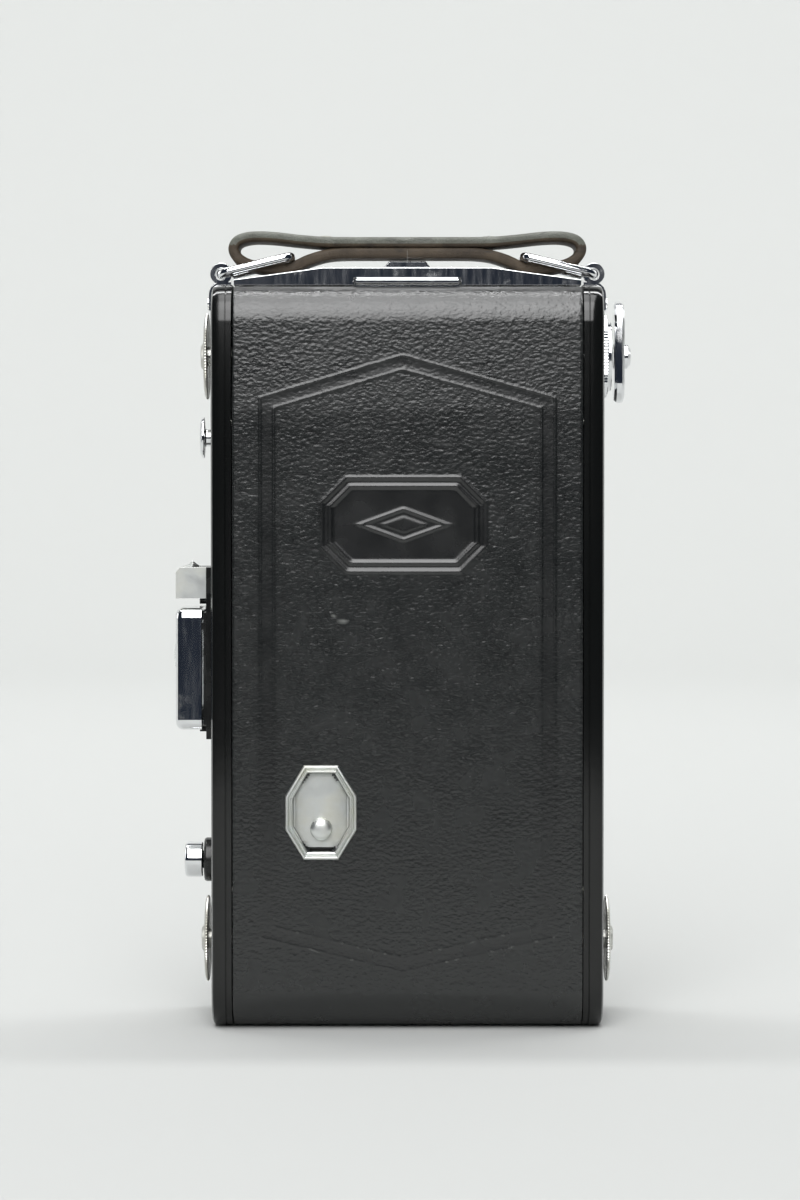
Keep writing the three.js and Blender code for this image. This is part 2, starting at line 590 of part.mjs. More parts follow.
// Half of the strap's middle line, from its end in the middle, round the ring and back to the middle.
// Both ends are folded under until they meet.
const strapHalf = [
  [0.4, 160.7], [8, 160.7], [13.5, 160.65], [17, 160.4], [20.5, 159.4], [24.4, 158], [29, 157.9], [33,
    158.7],
  [35.5, 160.1], [36.4, 161.9], [35.4, 163.7], [32.4, 164.5], [28, 164.3], [22.5, 163.4], [17, 162.85],
    [8, 162.8],
];
function strapBand() {
  const points = [...strapHalf.map(([x, z]) => [-x, z]), ...strapHalf.map(([x, z]) => [x, z]).reverse()];
  const curve = new THREE.CatmullRomCurve3(points.map(([x, z]) => new THREE.Vector3(x, 0, z)), false,
    "centripetal");
  const steps = 70;
  const over = [];
  const under = [];
  for (let i = 0; i <= steps; i++) {
    const p = curve.getPoint(i / steps);
    const t = curve.getTangent(i / steps);
    over.push([p.x - (t.z * STRAP_THICK) / 2, p.z + (t.x * STRAP_THICK) / 2]);
    under.push([p.x + (t.z * STRAP_THICK) / 2, p.z - (t.x * STRAP_THICK) / 2]);
  }
  return prism("y", [...over, ...under.reverse()], -STRAP_HALF, STRAP_HALF);
}
add("strap", "carry_strap", strapBand(), hide);

// ---------------------------------------------------------------- folding finder
const FINDER = { low: 61, high: 87.4, out: -42.5, frontY: 10.3, rearY: -8.6, hingeX: -43.5 };
const finderBase = join(
  box(FINDER.out + 0.6, -HALF - 0.1, -10.4, 11.4, 59.6, 95.4),
  box(FINDER.out, -HALF - 0.3, -9.6, 9, 62.5, 86),
  ...[[59.9, 61.2], [87.2, 88.4]].map(([a, b]) => box(-44.3, -41, FINDER.frontY - 1, FINDER.frontY + 1,
    a, b)),
  ...[[64.4, 65.8], [82.4, 83.8]].map(([a, b]) => box(-44.0, -41, FINDER.rearY - 0.9,
    FINDER.rearY + 0.8, a, b)),
);
// the block at the strap end has the catch for the folded frames
const finderCatch = join(
  prism("y", [[-41.5, 88.9], [-48.3, 88.9], [-48.3, 94.4], [-47.4, 95.4], [-41.5, 95.4]], -8.5, 7.5),
  turned("z", { x: -45.2, y: -0.5 }, [[0, 95], [1.4, 95], [1.4, 95.6], [0, 96.6]], 4),
);
add("chassis", "finder_base", join(finderBase, finderCatch), blackened);
// Front frame: a shallow lid with a window, hinged along the front edge; folded, it covers the rear frame.
const frontFrame = cut(
  box(-48.3, -42.9, -10.3, FINDER.frontY + 1, 61.5, 86.9),
  box(-47.5, -42, -9.5, FINDER.frontY - 1.3, 62.3, 86.1),
  box(-49, -46, -6.8, 6.6, 64.8, 83.6),
  box(-46.6, -42, FINDER.frontY - 1.4, FINDER.frontY + 1.1, 62.3, 86.1),
  box(-44.6, -42, FINDER.frontY - 1.4, FINDER.frontY + 1.1, 61, 87),
);
const frontKnuckle = rod("z", { x: FINDER.hingeX, y: FINDER.frontY }, 0.8, 61.5, 86.9, 12);
const frontWeb = box(-46.9, FINDER.hingeX, FINDER.frontY - 0.4, FINDER.frontY + 0.4, 61.5, 86.9);
add("finder_front", "finder_front_frame", join(frontFrame, frontKnuckle, frontWeb), chrome);
const lensBulge = turned("x", { y: -0.1, z: 76.7 }, [
  [0, -49.2], [2.5, -48.9], [4.3, -48.2], [5.3, -47.1], [5.3, -46.8], [0, -46.8],
], 32);
add("finder_front", "finder_front_lens", join(box(-47.3, -46.6, -6.7, 6.5, 64.9, 83.5), lensBulge), glass);
const rearFrame = cut(
  join(
    box(-44.4, -43.3, FINDER.rearY, FINDER.rearY + 9, 68, 80.4),
    rod("z", { x: FINDER.hingeX, y: FINDER.rearY }, 0.7, 66.1, 82.1, 12),
  ),
  rod("x", { y: FINDER.rearY + 5, z: 74.2 }, 2.6, -46, -42, 20),
);
add("finder_rear", "finder_rear_frame", rearFrame, chrome);

// ---------------------------------------------------------------- bed, foot, struts and stays
const BED_LOW = 29.1;
const BED_HIGH = HEIGHT - SHELL_TOP + 0.4;
const BED_INNER = BED_HINGE.y;
const BED_OUTER = FRONT - SHELL;
const STAY_PIVOT = { y: BED_INNER - 3, z: BED_HINGE.z + 20 };
const FOOT_PIVOT = { y: 19.7, z: 118.5 };
const lips = [-1, 1].map((s) => box(Math.min(s * 35, s * 36), Math.max(s * 35, s * 36), BED_INNER - 4,
  BED_INNER + 0.5, 33.6, 125));
const bedPanel = cut(
  join(
    box(-36, 36, BED_INNER, BED_OUTER, BED_LOW, BED_HIGH - 0.8),
    ...lips,
    box(-24.7, 24.7, BED_INNER, BED_OUTER, BED_HINGE.z, BED_LOW + 0.5),
    rod("x", BED_HINGE, BARREL_R, -24.7, 24.7, 20),
    ...[-1, 1].map((s) => rod("x", STAY_PIVOT, 0.9, Math.min(s * 33.5, s * 35.2), Math.max(s * 33.5,
      s * 35.2), 16)),
  ),
  rod("x", BED_HINGE, BORE_R, -26, 26, 16),
);
add("bed", "bed_panel", bedPanel, enamel);
add("bed", "bed_leather", box(-36, 36, FRONT - LEATHER, FRONT, BED_LOW + 0.4, BED_HIGH - 0.9), leather);
const footEar = (s) => box(Math.min(s * 9.4, s * 10.9), Math.max(s * 9.4, s * 10.9), FRONT + 0.1, 20.4,
  116.9, 120.1);
add("bed", "foot_hinge", join(footEar(-1), footEar(1), rod("x", FOOT_PIVOT, 0.4, -10, 10, 12)), chrome);
const footOutline = [[-9.1, 118.5], [-9.1, 106], [-6, 93.3], [6, 93.3], [9.1, 106], [9.1, 118.5]];
add("foot", "bed_foot", cut(
  join(
    prism("y", footOutline, 19.2, 20.2),
    rod("x", FOOT_PIVOT, 0.7, -9.1, 9.1, 12),
  ),
  rod("x", FOOT_PIVOT, 0.5, -9.2, 9.2, 12),
  prism("y", [[-5.5, 114], [-4, 100], [4, 100], [5.5, 114]], 19, 21),
), chrome);

// A flat link with a slot, drawn from its pivot along its folded direction.
function link(x, pivot, towards, length, slotFrom, holeR) {
  const angle = Math.atan2(towards.z - pivot.z, towards.y - pivot.y);
  const along = ([u, v]) => [
    pivot.y + u * Math.cos(angle) - v * Math.sin(angle),
    pivot.z + u * Math.sin(angle) + v * Math.cos(angle),
  ];
  const body = [...arc(0, 0, 2.4, 90, 270, 8), ...arc(length - 2.4, 0, 2.4, 270, 450, 8)].map(along);
  const slot = [...arc(slotFrom, 0, 1.2, 90, 270, 6), ...arc(length - 3, 0, 1.2, 270, 450, 6)].map(along);
  return cut(
    prism("x", body, x, x + LINK),
    prism("x", slot, x - 1, x + LINK + 1),
    rod("x", pivot, holeR, x - 1, x + LINK + 1, 16),
  );
}
const STANDARD_PIN = { y: -2.3, z: 103 };
const strut = link(32.3, STRUT_PIVOT, STANDARD_PIN, 94, 65, 1.3);
const stay = link(33.7, STAY_PIVOT, STAY_PIN, 77, 48, 1.2);
add("strut_right", "strut_right", strut, blackened);
add("strut_left", "strut_left", mirrorX(strut), blackened);
add("stay_right", "stay_right", stay, blackened);
add("stay_left", "stay_left", mirrorX(stay), blackened);

// ---------------------------------------------------------------- lens standard
const LENS = { z: LENS_Z };
const standardOutline = [
  [-20, 68], [20, 68], [27, 76], [27, 99.5], [30.5, 99.5], [30.5, 106.5], [27, 106.5], [27, 118], [22, 123],
  [-22, 123], [-27, 118], [-27, 106.5], [-30.5, 106.5], [-30.5, 99.5], [-27, 99.5], [-27, 76],
];
add("standard", "lens_standard", cut(
  join(
    prism("y", standardOutline, -3, -1.6),
    ...[-1, 1].map((s) => rod("x", STANDARD_PIN, 1.6, Math.min(s * 27, s * 32), Math.max(s * 27,
      s * 32), 16)),
  ),
  rod("y", LENS, 11.9, -5, 0, 32),
), enamel);
add("standard", "rear_cell", turned("y", LENS, [
  [8.9, -9], [10.6, -9], [11.6, -8.4], [11.6, -1.5], [8.9, -1.5], [8.9, -9],
], 32), blackened);
add("standard", "rear_lens", turned("y", LENS, [[0, -8.6], [4.6, -8.4], [8.7, -7.6], [8.7, -5.2], [0,
  -5.2]], 32), glass);
add("standard", "shutter_housing", turned("y", LENS, [
  [3.2, 0.6], [12, 0.6], [12, -1.3], [21.4, -1.3], [22, -0.7], [22, 5.2], [21, 6.2], [9.6, 6.2], [9.6, 1.4],
  [3.2, 1.4], [3.2, 0.6],
], 40), blackened);
add("speed_dial", "speed_ring", ring("y", LENS, 15.4, 20.8, 6.4, 7.7, 40), chrome);
add("focus", "focus_ring", turned("y", LENS, [
  [9.5, 6.5], [13.2, 6.5], [14, 7.1], [14, 12.2], [13.4, 13], [11.2, 13], [9.5, 11.6], [9.5, 6.5],
], 36), blackened);
add("focus", "front_lens", turned("y", LENS, [[0, 8], [9.3, 8], [9.3, 10.4], [6, 11.3], [3, 11.8], [0,
  11.9]], 32), glass);
function lever(angle, reach, name, y) {
  const arm = join(
    ring("y", LENS, 14.4, 16, y, y + 0.5, 36),
    box(-1.1, 1.1, y, y + 0.5, LENS_Z + 15.4, LENS_Z + reach),
    rod("y", { x: 0, z: LENS_Z + reach }, 1.6, y, 10.5, 12),
  );
  arm.translate(0, 0, -LENS_Z);
  arm.rotateY(THREE.MathUtils.degToRad(angle));
  arm.translate(0, 0, LENS_Z);
  add(name, name, arm, chrome);
}
lever(20, 23.6, "cocking_lever", 8);
lever(110, 22, "aperture_lever", 8.8);

// Folded bellows: four walls from the gate forward to the standard.
const rectangleAt = (y, halfX, low, high) => [[-halfX, y, low], [halfX, y, low], [halfX, y, high],
  [-halfX, y, high]];
add("standard", "bellows", loftLoop([
  rectangleAt(-12.8, 30, 32.3, 121.7), rectangleAt(-3.3, 22, 73, 121), rectangleAt(-3.3, 17, 79, 115),
  rectangleAt(-12.8, 28, 34, 120),
]), blackened);

export default camera;
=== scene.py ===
"""Looks of a folding roll-film camera, folded shut and standing on its hinge end."""

import math

import bmesh
import bpy
import numpy as np
from mathutils import Matrix, Vector


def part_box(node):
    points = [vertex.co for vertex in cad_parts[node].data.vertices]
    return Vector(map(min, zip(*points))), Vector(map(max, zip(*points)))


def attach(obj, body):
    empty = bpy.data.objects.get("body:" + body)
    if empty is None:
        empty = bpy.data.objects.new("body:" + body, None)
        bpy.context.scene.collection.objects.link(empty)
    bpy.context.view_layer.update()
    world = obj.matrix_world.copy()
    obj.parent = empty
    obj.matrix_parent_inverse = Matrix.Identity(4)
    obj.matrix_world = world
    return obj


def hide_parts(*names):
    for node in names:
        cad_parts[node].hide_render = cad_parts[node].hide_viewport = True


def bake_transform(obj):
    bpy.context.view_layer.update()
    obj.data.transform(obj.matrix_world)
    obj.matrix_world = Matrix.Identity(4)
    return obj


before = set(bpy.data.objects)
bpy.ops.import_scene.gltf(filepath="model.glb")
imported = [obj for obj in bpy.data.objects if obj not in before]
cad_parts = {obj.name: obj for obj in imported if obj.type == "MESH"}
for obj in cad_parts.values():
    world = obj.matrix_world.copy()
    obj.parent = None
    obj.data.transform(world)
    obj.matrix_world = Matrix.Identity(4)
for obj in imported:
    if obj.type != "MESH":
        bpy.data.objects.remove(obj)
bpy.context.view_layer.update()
scene = bpy.context.scene

# ---------------------------------------------------------------- sizes, in millimetres in the shared frame
MM = 0.001


def box_mm(node):
    low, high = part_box(node)
    return [c / MM for c in low], [c / MM for c in high]


def middle(node):
    low, high = box_mm(node)
    return [(a + b) / 2 for a, b in zip(low, high)]


DOOR_LOW, DOOR_HIGH = box_mm("door_leather")
HALF_PANEL = DOOR_HIGH[0]  # half width of door and bed
BACK = DOOR_LOW[1]  # outer face of the door's leather
BACK_RADIUS = 8.0
DOOR_FOOT = -10.2  # y of the leather's edge at the hinge end
SPOOL_Y = middle("winding_shaft")[1]
UPPER_SPOOL_Z = middle("winding_shaft")[2]
LOWER_SPOOL_Z = middle("spool_knob_lower_left")[2]
LENS_Z = middle("shutter_housing")[2]
WINDOW = (middle("window_bezel")[0], middle("window_bezel")[2])
PIP_Z = middle("red_window")[2]
EYELET = (38.9, 156.6)
RING_END = (24.4, 160.1)
RING_HALF = 7.0
WIRE_R = 0.95
STRAP_HALF = 5.8
STRAP_THICK = 2.2
SKIN = 0.3  # thickness of the leather sheets

# ---------------------------------------------------------------- node graphs


class Graph:
    """A material's node tree with short calls for the textures that the finishes share."""

    def __init__(self, name, color, rough, metal=0.0, **sockets):
        self.material = bpy.data.materials.new(name)
        self.material.use_nodes = True
        self.tree = self.material.node_tree
        self.shader = self.tree.nodes["Principled BSDF"]
        self.set("Base Color", (*color, 1.0))
        self.set("Roughness", rough)
        self.set("Metallic", metal)
        for socket, value in sockets.items():
            self.set(socket.replace("_", " "), value)
        place = self.tree.nodes.new("ShaderNodeTexCoord")
        self.place = place.outputs["Object"]

    def feed(self, socket, value):
        """Links a node's output to the socket, or writes a plain value in it."""
        if isinstance(value, bpy.types.NodeSocket):
            self.tree.links.new(value, socket)
        else:
            socket.default_value = value

    def set(self, socket, value):
        self.feed(self.shader.inputs[socket], value)

    def node(self, kind, inputs=None, **options):
        made = self.tree.nodes.new(kind)
        for option, value in options.items():
            setattr(made, option, value)
        for socket, value in (inputs or {}).items():
            self.feed(made.inputs[socket], value)
        return made

    def noise(self, scale, detail=3.0, rough=0.5, place=None):
        inputs = {"Vector": place or self.place, "Scale": scale, "Detail": detail, "Roughness": rough}
        return self.node("ShaderNodeTexNoise", inputs).outputs["Fac"]

    def cells(self, scale, feature="F1", place=None):
        inputs = {"Vector": place or self.place, "Scale": scale}
        return self.node("ShaderNodeTexVoronoi", inputs, feature=feature).outputs["Distance"]

    def warped(self, scale, amount):
        """Coordinates pushed about by a coarse noise, so that cells aren't regular."""
        inputs = {"Vector": self.place, "Scale": scale, "Detail": 2.0}
        color = self.node("ShaderNodeTexNoise", inputs).outputs["Color"]
        centred = self.vectors("SUBTRACT", {0: color, 1: (0.5, 0.5, 0.5)})
        scaled = self.vectors("SCALE", {0: centred, "Scale": amount})
        return self.vectors("ADD", {0: self.place, 1: scaled})

    def stretched(self, scale):
        return self.node("ShaderNodeMapping", {"Vector": self.place, "Scale": scale}).outputs[0]

    def vectors(self, operation, inputs):
        return self.node("ShaderNodeVectorMath", inputs, operation=operation).outputs[0]

    def math(self, operation, a, b=0.0):
        return self.node("ShaderNodeMath", {0: a, 1: b}, operation=operation).outputs[0]

    def remap(self, value, low, high, to_low=0.0, to_high=1.0):
        inputs = {"Value": value, "From Min": low, "From Max": high, "To Min": to_low, "To Max": to_high}
        return self.node("ShaderNodeMapRange", inputs, clamp=True).outputs[0]

    def blend(self, fac, first, second):
        """Mixes two colours, each a node's output or plain red, green and blue."""
        made = self.node("ShaderNodeMix", {0: fac}, data_type="RGBA")
        for socket, value in ((6, first), (7, second)):
            plain = not isinstance(value, bpy.types.NodeSocket)
            self.feed(made.inputs[socket], (*value, 1.0) if plain else value)
        return made.outputs[2]

    def attribute(self, name):
        return self.node("ShaderNodeAttribute", attribute_name=name).outputs["Fac"]

    def bump(self, height, distance, strength=1.0):
        inputs = {"Height": height, "Distance": distance, "Strength": strength}
        return self.node("ShaderNodeBump", inputs).outputs[0]


def leatherette():
    """Black leather cloth with a fine grain, its pebble valleys painted darker as shade; attributes calm it
    where plain, pale it where scuffed and where ridge glints are painted, and dull it high up.
    """
    g = Graph("leatherette", (0.009, 0.010, 0.0095), 0.24, Specular_IOR_Level=0.8)
    wide = g.stretched((0.68, 1.0, 1.0))
    ripple = g.noise(1500.0, 2.0, 0.5, wide)
    pebbles = g.cells(1500.0, "SMOOTH_F1", wide)
    fine = g.noise(2600.0, 2.0)
    patches = g.noise(34.0, 4.0)
    plain = g.attribute("plain")
    scuff_and_glint = g.attribute("scuff_and_glint")
    upper = g.attribute("upper")
    dome = g.remap(pebbles, 0.15, 0.75, 1.0, 0.0)
    tops = g.blend(g.remap(patches, 0.35, 0.7), (0.0066, 0.0080, 0.0076), (0.0088, 0.0104, 0.0099))
    # the valleys between the pebbles are painted darker than the tops: painted shade between the pebbles
    grain_with_valley_shade = g.blend(g.remap(dome, 0.1, 0.6), (0.0028, 0.0032, 0.0030), tops)
    calm = g.blend(plain, grain_with_valley_shade, (0.0040, 0.0045, 0.0044))
    # a paler grey where the leather is scuffed, and along the lower frame ridges a painted highlight of
    # glints
    g.set("Base Color", g.blend(g.remap(scuff_and_glint, 0.15, 0.9), calm, (0.16, 0.165, 0.155)))
    rough = g.remap(g.noise(150.0, 4.0), 0.3, 0.75, 0.23, 0.30)
    rough = g.math("ADD", rough, g.remap(upper, 0.0, 1.0, 0.0, 0.03))
    g.set("Roughness", g.math("ADD", rough, g.remap(upper, 1.0, 2.0, 0.0, 0.35)))
    height = g.math("ADD", g.math("MULTIPLY", ripple, 0.72), g.math("MULTIPLY", dome, 0.32))
    height = g.math("ADD", height, g.math("MULTIPLY", fine, 0.22))
    strength = g.math("MULTIPLY", g.remap(plain, 0.0, 1.0, 1.0, 0.06), g.remap(upper, 0.0, 1.0, 0.72, 1.0))
    g.set("Normal", g.bump(height, 0.00013, strength))
    return g.material


def enamel():
    """Gloss black stoving enamel: a faint orange peel, wiping marks and dust."""
    g = Graph("enamel", (0.005, 0.0054, 0.005), 0.14)
    wiped = g.noise(60.0, 5.0, place=g.stretched((1.0, 1.0, 0.25)))
    specks = g.remap(g.cells(700.0), 0.0, 0.045, 1.0, 0.0)
    g.set("Roughness", g.remap(wiped, 0.35, 0.75, 0.11, 0.24))
    dust = g.math("MULTIPLY", specks, 0.5)
    g.set("Base Color", g.blend(dust, (0.0050, 0.0054, 0.0050), (0.05, 0.05, 0.045)))
    g.set("Normal", g.bump(g.noise(420.0, 2.0), 0.00002, 0.35))
    return g.material


def chrome():
    """Polished plate with hairlines and a few dull spots."""
    color, rough = (0.80, 0.81, 0.82), 0.07
    g = Graph("chrome", color, rough, 1.0)
    hairs = g.noise(900.0, 4.0, 0.6, g.stretched((1.0, 6.0, 0.12)))
    spots = g.remap(g.noise(260.0, 5.0), 0.60, 0.75)
    base = g.blend(g.math("MULTIPLY", spots, 0.35), color, (0.42, 0.42, 0.40))
    g.set("Base Color", base)
    brushed = g.remap(hairs, 0.35, 0.7, rough, rough + 0.08)
    g.set("Roughness", g.math("ADD", brushed, g.math("MULTIPLY", spots, 0.12)))
    g.set("Normal", g.bump(hairs, 0.000008, 0.35))
    return g.material


def nickel(name="nickel", color=(0.56, 0.56, 0.53), rough=0.28):
    """Satin plate that has gone a little dull and warm."""
    g = Graph(name, color, rough, 1.0)
    cloud = g.noise(170.0, 5.0)
    grain = g.noise(2600.0, 2.0)
    warm = tuple(c * k for c, k in zip(color, (0.82, 0.79, 0.70)))
    g.set("Base Color", g.blend(g.remap(cloud, 0.42, 0.78), color, warm))
    g.set("Roughness", g.remap(cloud, 0.3, 0.75, rough - 0.06, rough + 0.16))
    g.set("Normal", g.bump(grain, 0.000012, 0.4))
    return g.material


def blackened(name="blackened", rough=0.45, color=(0.010, 0.0102, 0.010)):
    """Matt black paint on brass and steel."""
    g = Graph(name, color, rough)
    worn = g.remap(g.noise(300.0, 5.0), 0.66, 0.74)
    g.set("Base Color", g.blend(g.math("MULTIPLY", worn, 0.25), color, (0.09, 0.085, 0.07)))
    g.set("Roughness", g.remap(g.noise(220.0, 4.0), 0.3, 0.7, rough - 0.06, rough + 0.12))
    g.set("Normal", g.bump(g.noise(1800.0, 3.0), 0.00002, 0.5))
    return g.material


def strap_hide(name, face, dark, rough, grain=1500.0):
    """Old strap leather."""
    g = Graph(name, face, rough)
    cloud = g.noise(110.0, 6.0, 0.62)
    pores = g.cells(grain, "DISTANCE_TO_EDGE", g.warped(900.0, 0.0006))
    cracks = g.remap(g.noise(420.0, 6.0, 0.7, g.stretched((0.35, 1.0, 1.0))), 0.56, 0.66)
    body = g.blend(g.remap(cloud, 0.35, 0.7), face, dark)
    g.set("Base Color", g.blend(g.math("MULTIPLY", cracks, 0.7), body, tuple(0.35 * c for c in dark)))
    g.set("Roughness", g.remap(cloud, 0.3, 0.7, rough - 0.1, rough + 0.1))
    height = g.math("ADD", g.remap(pores, 0.0, 0.3), g.math("MULTIPLY", cracks, -0.8))
    g.set("Normal", g.bump(height, 0.00006, 0.7))
    return g.material


def pleated():
    """Matt bellows cloth, rubbed a little paler in places."""
    g = Graph("bellows_skin", (0.012, 0.012, 0.0125), 0.55, Sheen_Weight=0.15, Sheen_Roughness=0.5)
    grain = g.cells(1600.0, "DISTANCE_TO_EDGE", g.warped(800.0, 0.0008))
    rub = g.remap(g.noise(150.0, 5.0), 0.55, 0.75)
    g.set("Base Color", g.blend(rub, (0.011, 0.011, 0.0115), (0.030, 0.029, 0.027)))
    g.set("Roughness", g.remap(g.noise(90.0, 3.0), 0.3, 0.7, 0.45, 0.65))
    g.set("Normal", g.bump(g.remap(grain, 0.0, 0.25), 0.00006, 0.6))
    return g.material


def glass(name, color, rough=0.0):
    """Clear or tinted glass with faint smears."""
    g = Graph(name, color, rough, Transmission_Weight=1.0, IOR=1.5)
    smear = g.remap(g.noise(120.0, 4.0), 0.5, 0.8, 0.0, 0.06)
    g.set("Roughness", g.math("ADD", smear, rough))
    return g.material


def turned_wood():
    """Brown wood with its rings drawn out along the spool."""
    g = Graph("spool_wood", (0.22, 0.12, 0.06), 0.5)
    rings = g.noise(300.0, 5.0, 0.6, g.stretched((0.08, 1.0, 1.0)))
    g.set("Base Color", g.blend(g.remap(rings, 0.35, 0.7), (0.26, 0.15, 0.075), (0.13, 0.065, 0.03)))
    g.set("Roughness", g.remap(rings, 0.3, 0.7, 0.42, 0.6))
    g.set("Normal", g.bump(rings, 0.00005, 0.5))
    return g.material


def flat_paint(name, color):
    """The paint of engraved numbers and lines."""
    rough = 0.4
    g = Graph(name, color, rough)
    g.set("Roughness", g.remap(g.noise(800.0, 3.0), 0.3, 0.7, rough - 0.08, rough + 0.12))
    return g.material


LOOK = {
    "leatherette": leatherette(),
    "enamel": enamel(),
    "chrome": chrome(),
    "nickel": nickel(),
    "silver": nickel("silver", (0.74, 0.76, 0.74), 0.36),
    "blackened": blackened(),
    "gloss_black": blackened("gloss_black", 0.22, (0.008, 0.0085, 0.008)),
    "bellows_skin": pleated(),
    # the strap's top faces are a paler grey-green that is painted sheen; its edges and lower faces are a
    # darker brown, the cut edge's own colour with painted shade over it
    "strap_face_painted_sheen": strap_hide("strap_face_painted_sheen", (0.150, 0.158, 0.132), (0.085, 0.088, 0.070), 0.45),
    "strap_edge_and_shade": strap_hide("strap_edge_and_shade", (0.090, 0.064, 0.038), (0.035, 0.025, 0.016), 0.60, 2600.0),
    "lens_glass": glass("lens_glass", (0.93, 0.95, 0.97)),
    "finder_glass": glass("finder_glass", (0.90, 0.93, 0.93), 0.02),
    "ruby_glass": glass("ruby_glass", (0.45, 0.01, 0.01), 0.05),
    "spool_wood": turned_wood(),
    "white_paint": flat_paint("white_paint", (0.75, 0.75, 0.70)),
    "black_paint": flat_paint("black_paint", (0.010, 0.010, 0.010)),
}

# ---------------------------------------------------------------- mesh helpers
TO_WORLD = {
    "x": lambda u, v, w: (w, u, v),
    "y": lambda u, v, w: (u, w, v),
    "z": lambda u, v, w: (u, v, w),
}


def dress(obj, body, slot, replaces=(), smooth=35.0, bevel=None, segments=2):
    """Shading, bevel, body and the CAD nodes that the piece stands for; the slot is not used."""
    mesh = obj.data
    mesh.polygons.foreach_set("use_smooth", [True] * len(mesh.polygons))
    mesh.set_sharp_from_angle(angle=math.radians(smooth))
    if bevel:
        add_bevel(obj, bevel, segments)
    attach(obj, body)
    if replaces:
        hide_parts(*replaces)
    return obj


def add_bevel(obj, width, segments=2, angle=32.0):
    made = obj.modifiers.new("edges", "BEVEL")
    made.width = width * MM
    made.segments = segments
    made.limit_method = "ANGLE"
    made.angle_limit = math.radians(angle)
    made.harden_normals = True
    made.use_clamp_overlap = True


def linked(name, mesh, look):
    """A new object in the scene with one finish."""
    obj = bpy.data.objects.new(name, mesh)
    scene.collection.objects.link(obj)
    mesh.materials.append(LOOK[look])
    return obj


def mesh_piece(name, points, faces, look, body, slot, **finish):
    """A piece made of points in millimetres."""
    mesh = bpy.data.meshes.new(name)
    mesh.from_pydata([(x * MM, y * MM, z * MM) for x, y, z in points], [], faces)
    work = bmesh.new()
    work.from_mesh(mesh)
    bmesh.ops.remove_doubles(work, verts=work.verts, dist=1e-8)
    bmesh.ops.recalc_face_normals(work, faces=work.faces)
    work.to_mesh(mesh)
    work.free()
    return dress(linked(name, mesh, look), body, slot, **finish)


def leather_skin(name, points, faces, attributes, body, node):
    """A thin sheet of leather with a grain; its attributes say where it is plain, where it is scuffed or
    carries painted ridge glints, and where it is high up.
    """
    mesh = bpy.data.meshes.new(name)
    mesh.from_pydata((points * MM).tolist(), [], faces)
    for attribute, values in attributes.items():
        data = mesh.attributes.new(attribute, "FLOAT", "POINT").data
        data.foreach_set("value", values.ravel().astype(np.float32))
    work = bmesh.new()
    work.from_mesh(mesh)
    bmesh.ops.delete(work, geom=[v for v in work.verts if not v.link_faces], context="VERTS")
    work.to_mesh(mesh)
    work.free()
    obj = linked(name, mesh, "leatherette")
    shell = obj.modifiers.new("thickness", "SOLIDIFY")
    shell.thickness = SKIN * MM
    shell.offset = -1.0
    dress(obj, body, "leatherette", replaces=(node,), smooth=60.0)


def walls(rings, size, loop=False):
    faces = []
    for i in range(rings if loop else rings - 1):
        j = (i + 1) % rings
        for k in range(size):
            m = (k + 1) % size
            faces.append((i * size + k, i * size + m, j * size + m, j * size + k))
    return faces


def loft(axis, sections):
    """Points and faces of a closed solid through outlines of one length; sections are (place, outline)."""
    place = TO_WORLD[axis]
    size = len(sections[0][1])
    points = [place(u, v, w) for w, outline in sections for u, v in outline]
    faces = walls(len(sections), size)
    faces.append(tuple(range(size)))
    faces.append(tuple(range((len(sections) - 1) * size, len(sections) * size)))
    return points, faces


def lathe(axis, centre, profile, sides=72, teeth=0):
    """A turned solid; profile is (radius, place[, tooth depth]) and closes on itself or on the axis."""
    place = TO_WORLD[axis]
    points, rings = [], []
    for row in profile:
        r, h = row[0], row[1]
        depth = row[2] if len(row) > 2 else 0.0
        ring = []
        for k in range(1 if r < 1e-6 else sides):
            angle = 2 * math.pi * k / sides
            tooth = depth * (0.5 - 0.5 * math.cos(teeth * angle)) if depth else 0.0
            q = r - tooth
            x, y, z = place(q * math.cos(angle), q * math.sin(angle), h)
            ring.append(len(points))
            points.append((x + centre[0], y + centre[1], z + centre[2]))
        rings.append(ring)
    faces = []
    for a, b in zip(rings, rings[1:]):
        for k in range(sides):
            m = (k + 1) % sides
            if len(a) == 1 and len(b) > 1:
                faces.append((a[0], b[k], b[m]))
            elif len(b) == 1 and len(a) > 1:
                faces.append((a[k], a[m], b[0]))
            elif len(a) > 1:
                faces.append((a[k], a[m], b[m], b[k]))
    return points, faces


def merged(*solids):
    points, faces = [], []
    for some_points, some_faces in solids:
        offset = len(points)
        points.extend(some_points)
        faces.extend(tuple(i + offset for i in face) for face in some_faces)
    return points, faces


def moved(solid, matrix):
    points, faces = solid
    return [tuple(matrix @ Vector(p)) for p in points], faces


def block(x0, x1, y0, y1, z0, z1):
    return loft("z", [(z, [(x0, y0), (x1, y0), (x1, y1), (x0, y1)]) for z in (z0, z1)])


def arc(cx, cy, r, start, end, steps):
    angles = [math.radians(start + (end - start) * i / steps) for i in range(steps + 1)]
    return [(cx + r * math.cos(a), cy + r * math.sin(a)) for a in angles]


def tube(path, radius, normal):
    """A round wire along a closed path that lies in the plane across normal."""
    sides = 16
    count = len(path)
    normal = Vector(normal).normalized()
    angles = [2 * math.pi * k / sides for k in range(sides)]
    points = []
    for i, here in enumerate(path):
        along = (Vector(path[(i + 1) % count]) - Vector(path[i - 1])).normalized()
        out = along.cross(normal).normalized()
        points += [tuple(Vector(here) + radius * (out * math.cos(a) + normal * math.sin(a))) for a in angles]
    return points, walls(count, sides, True)


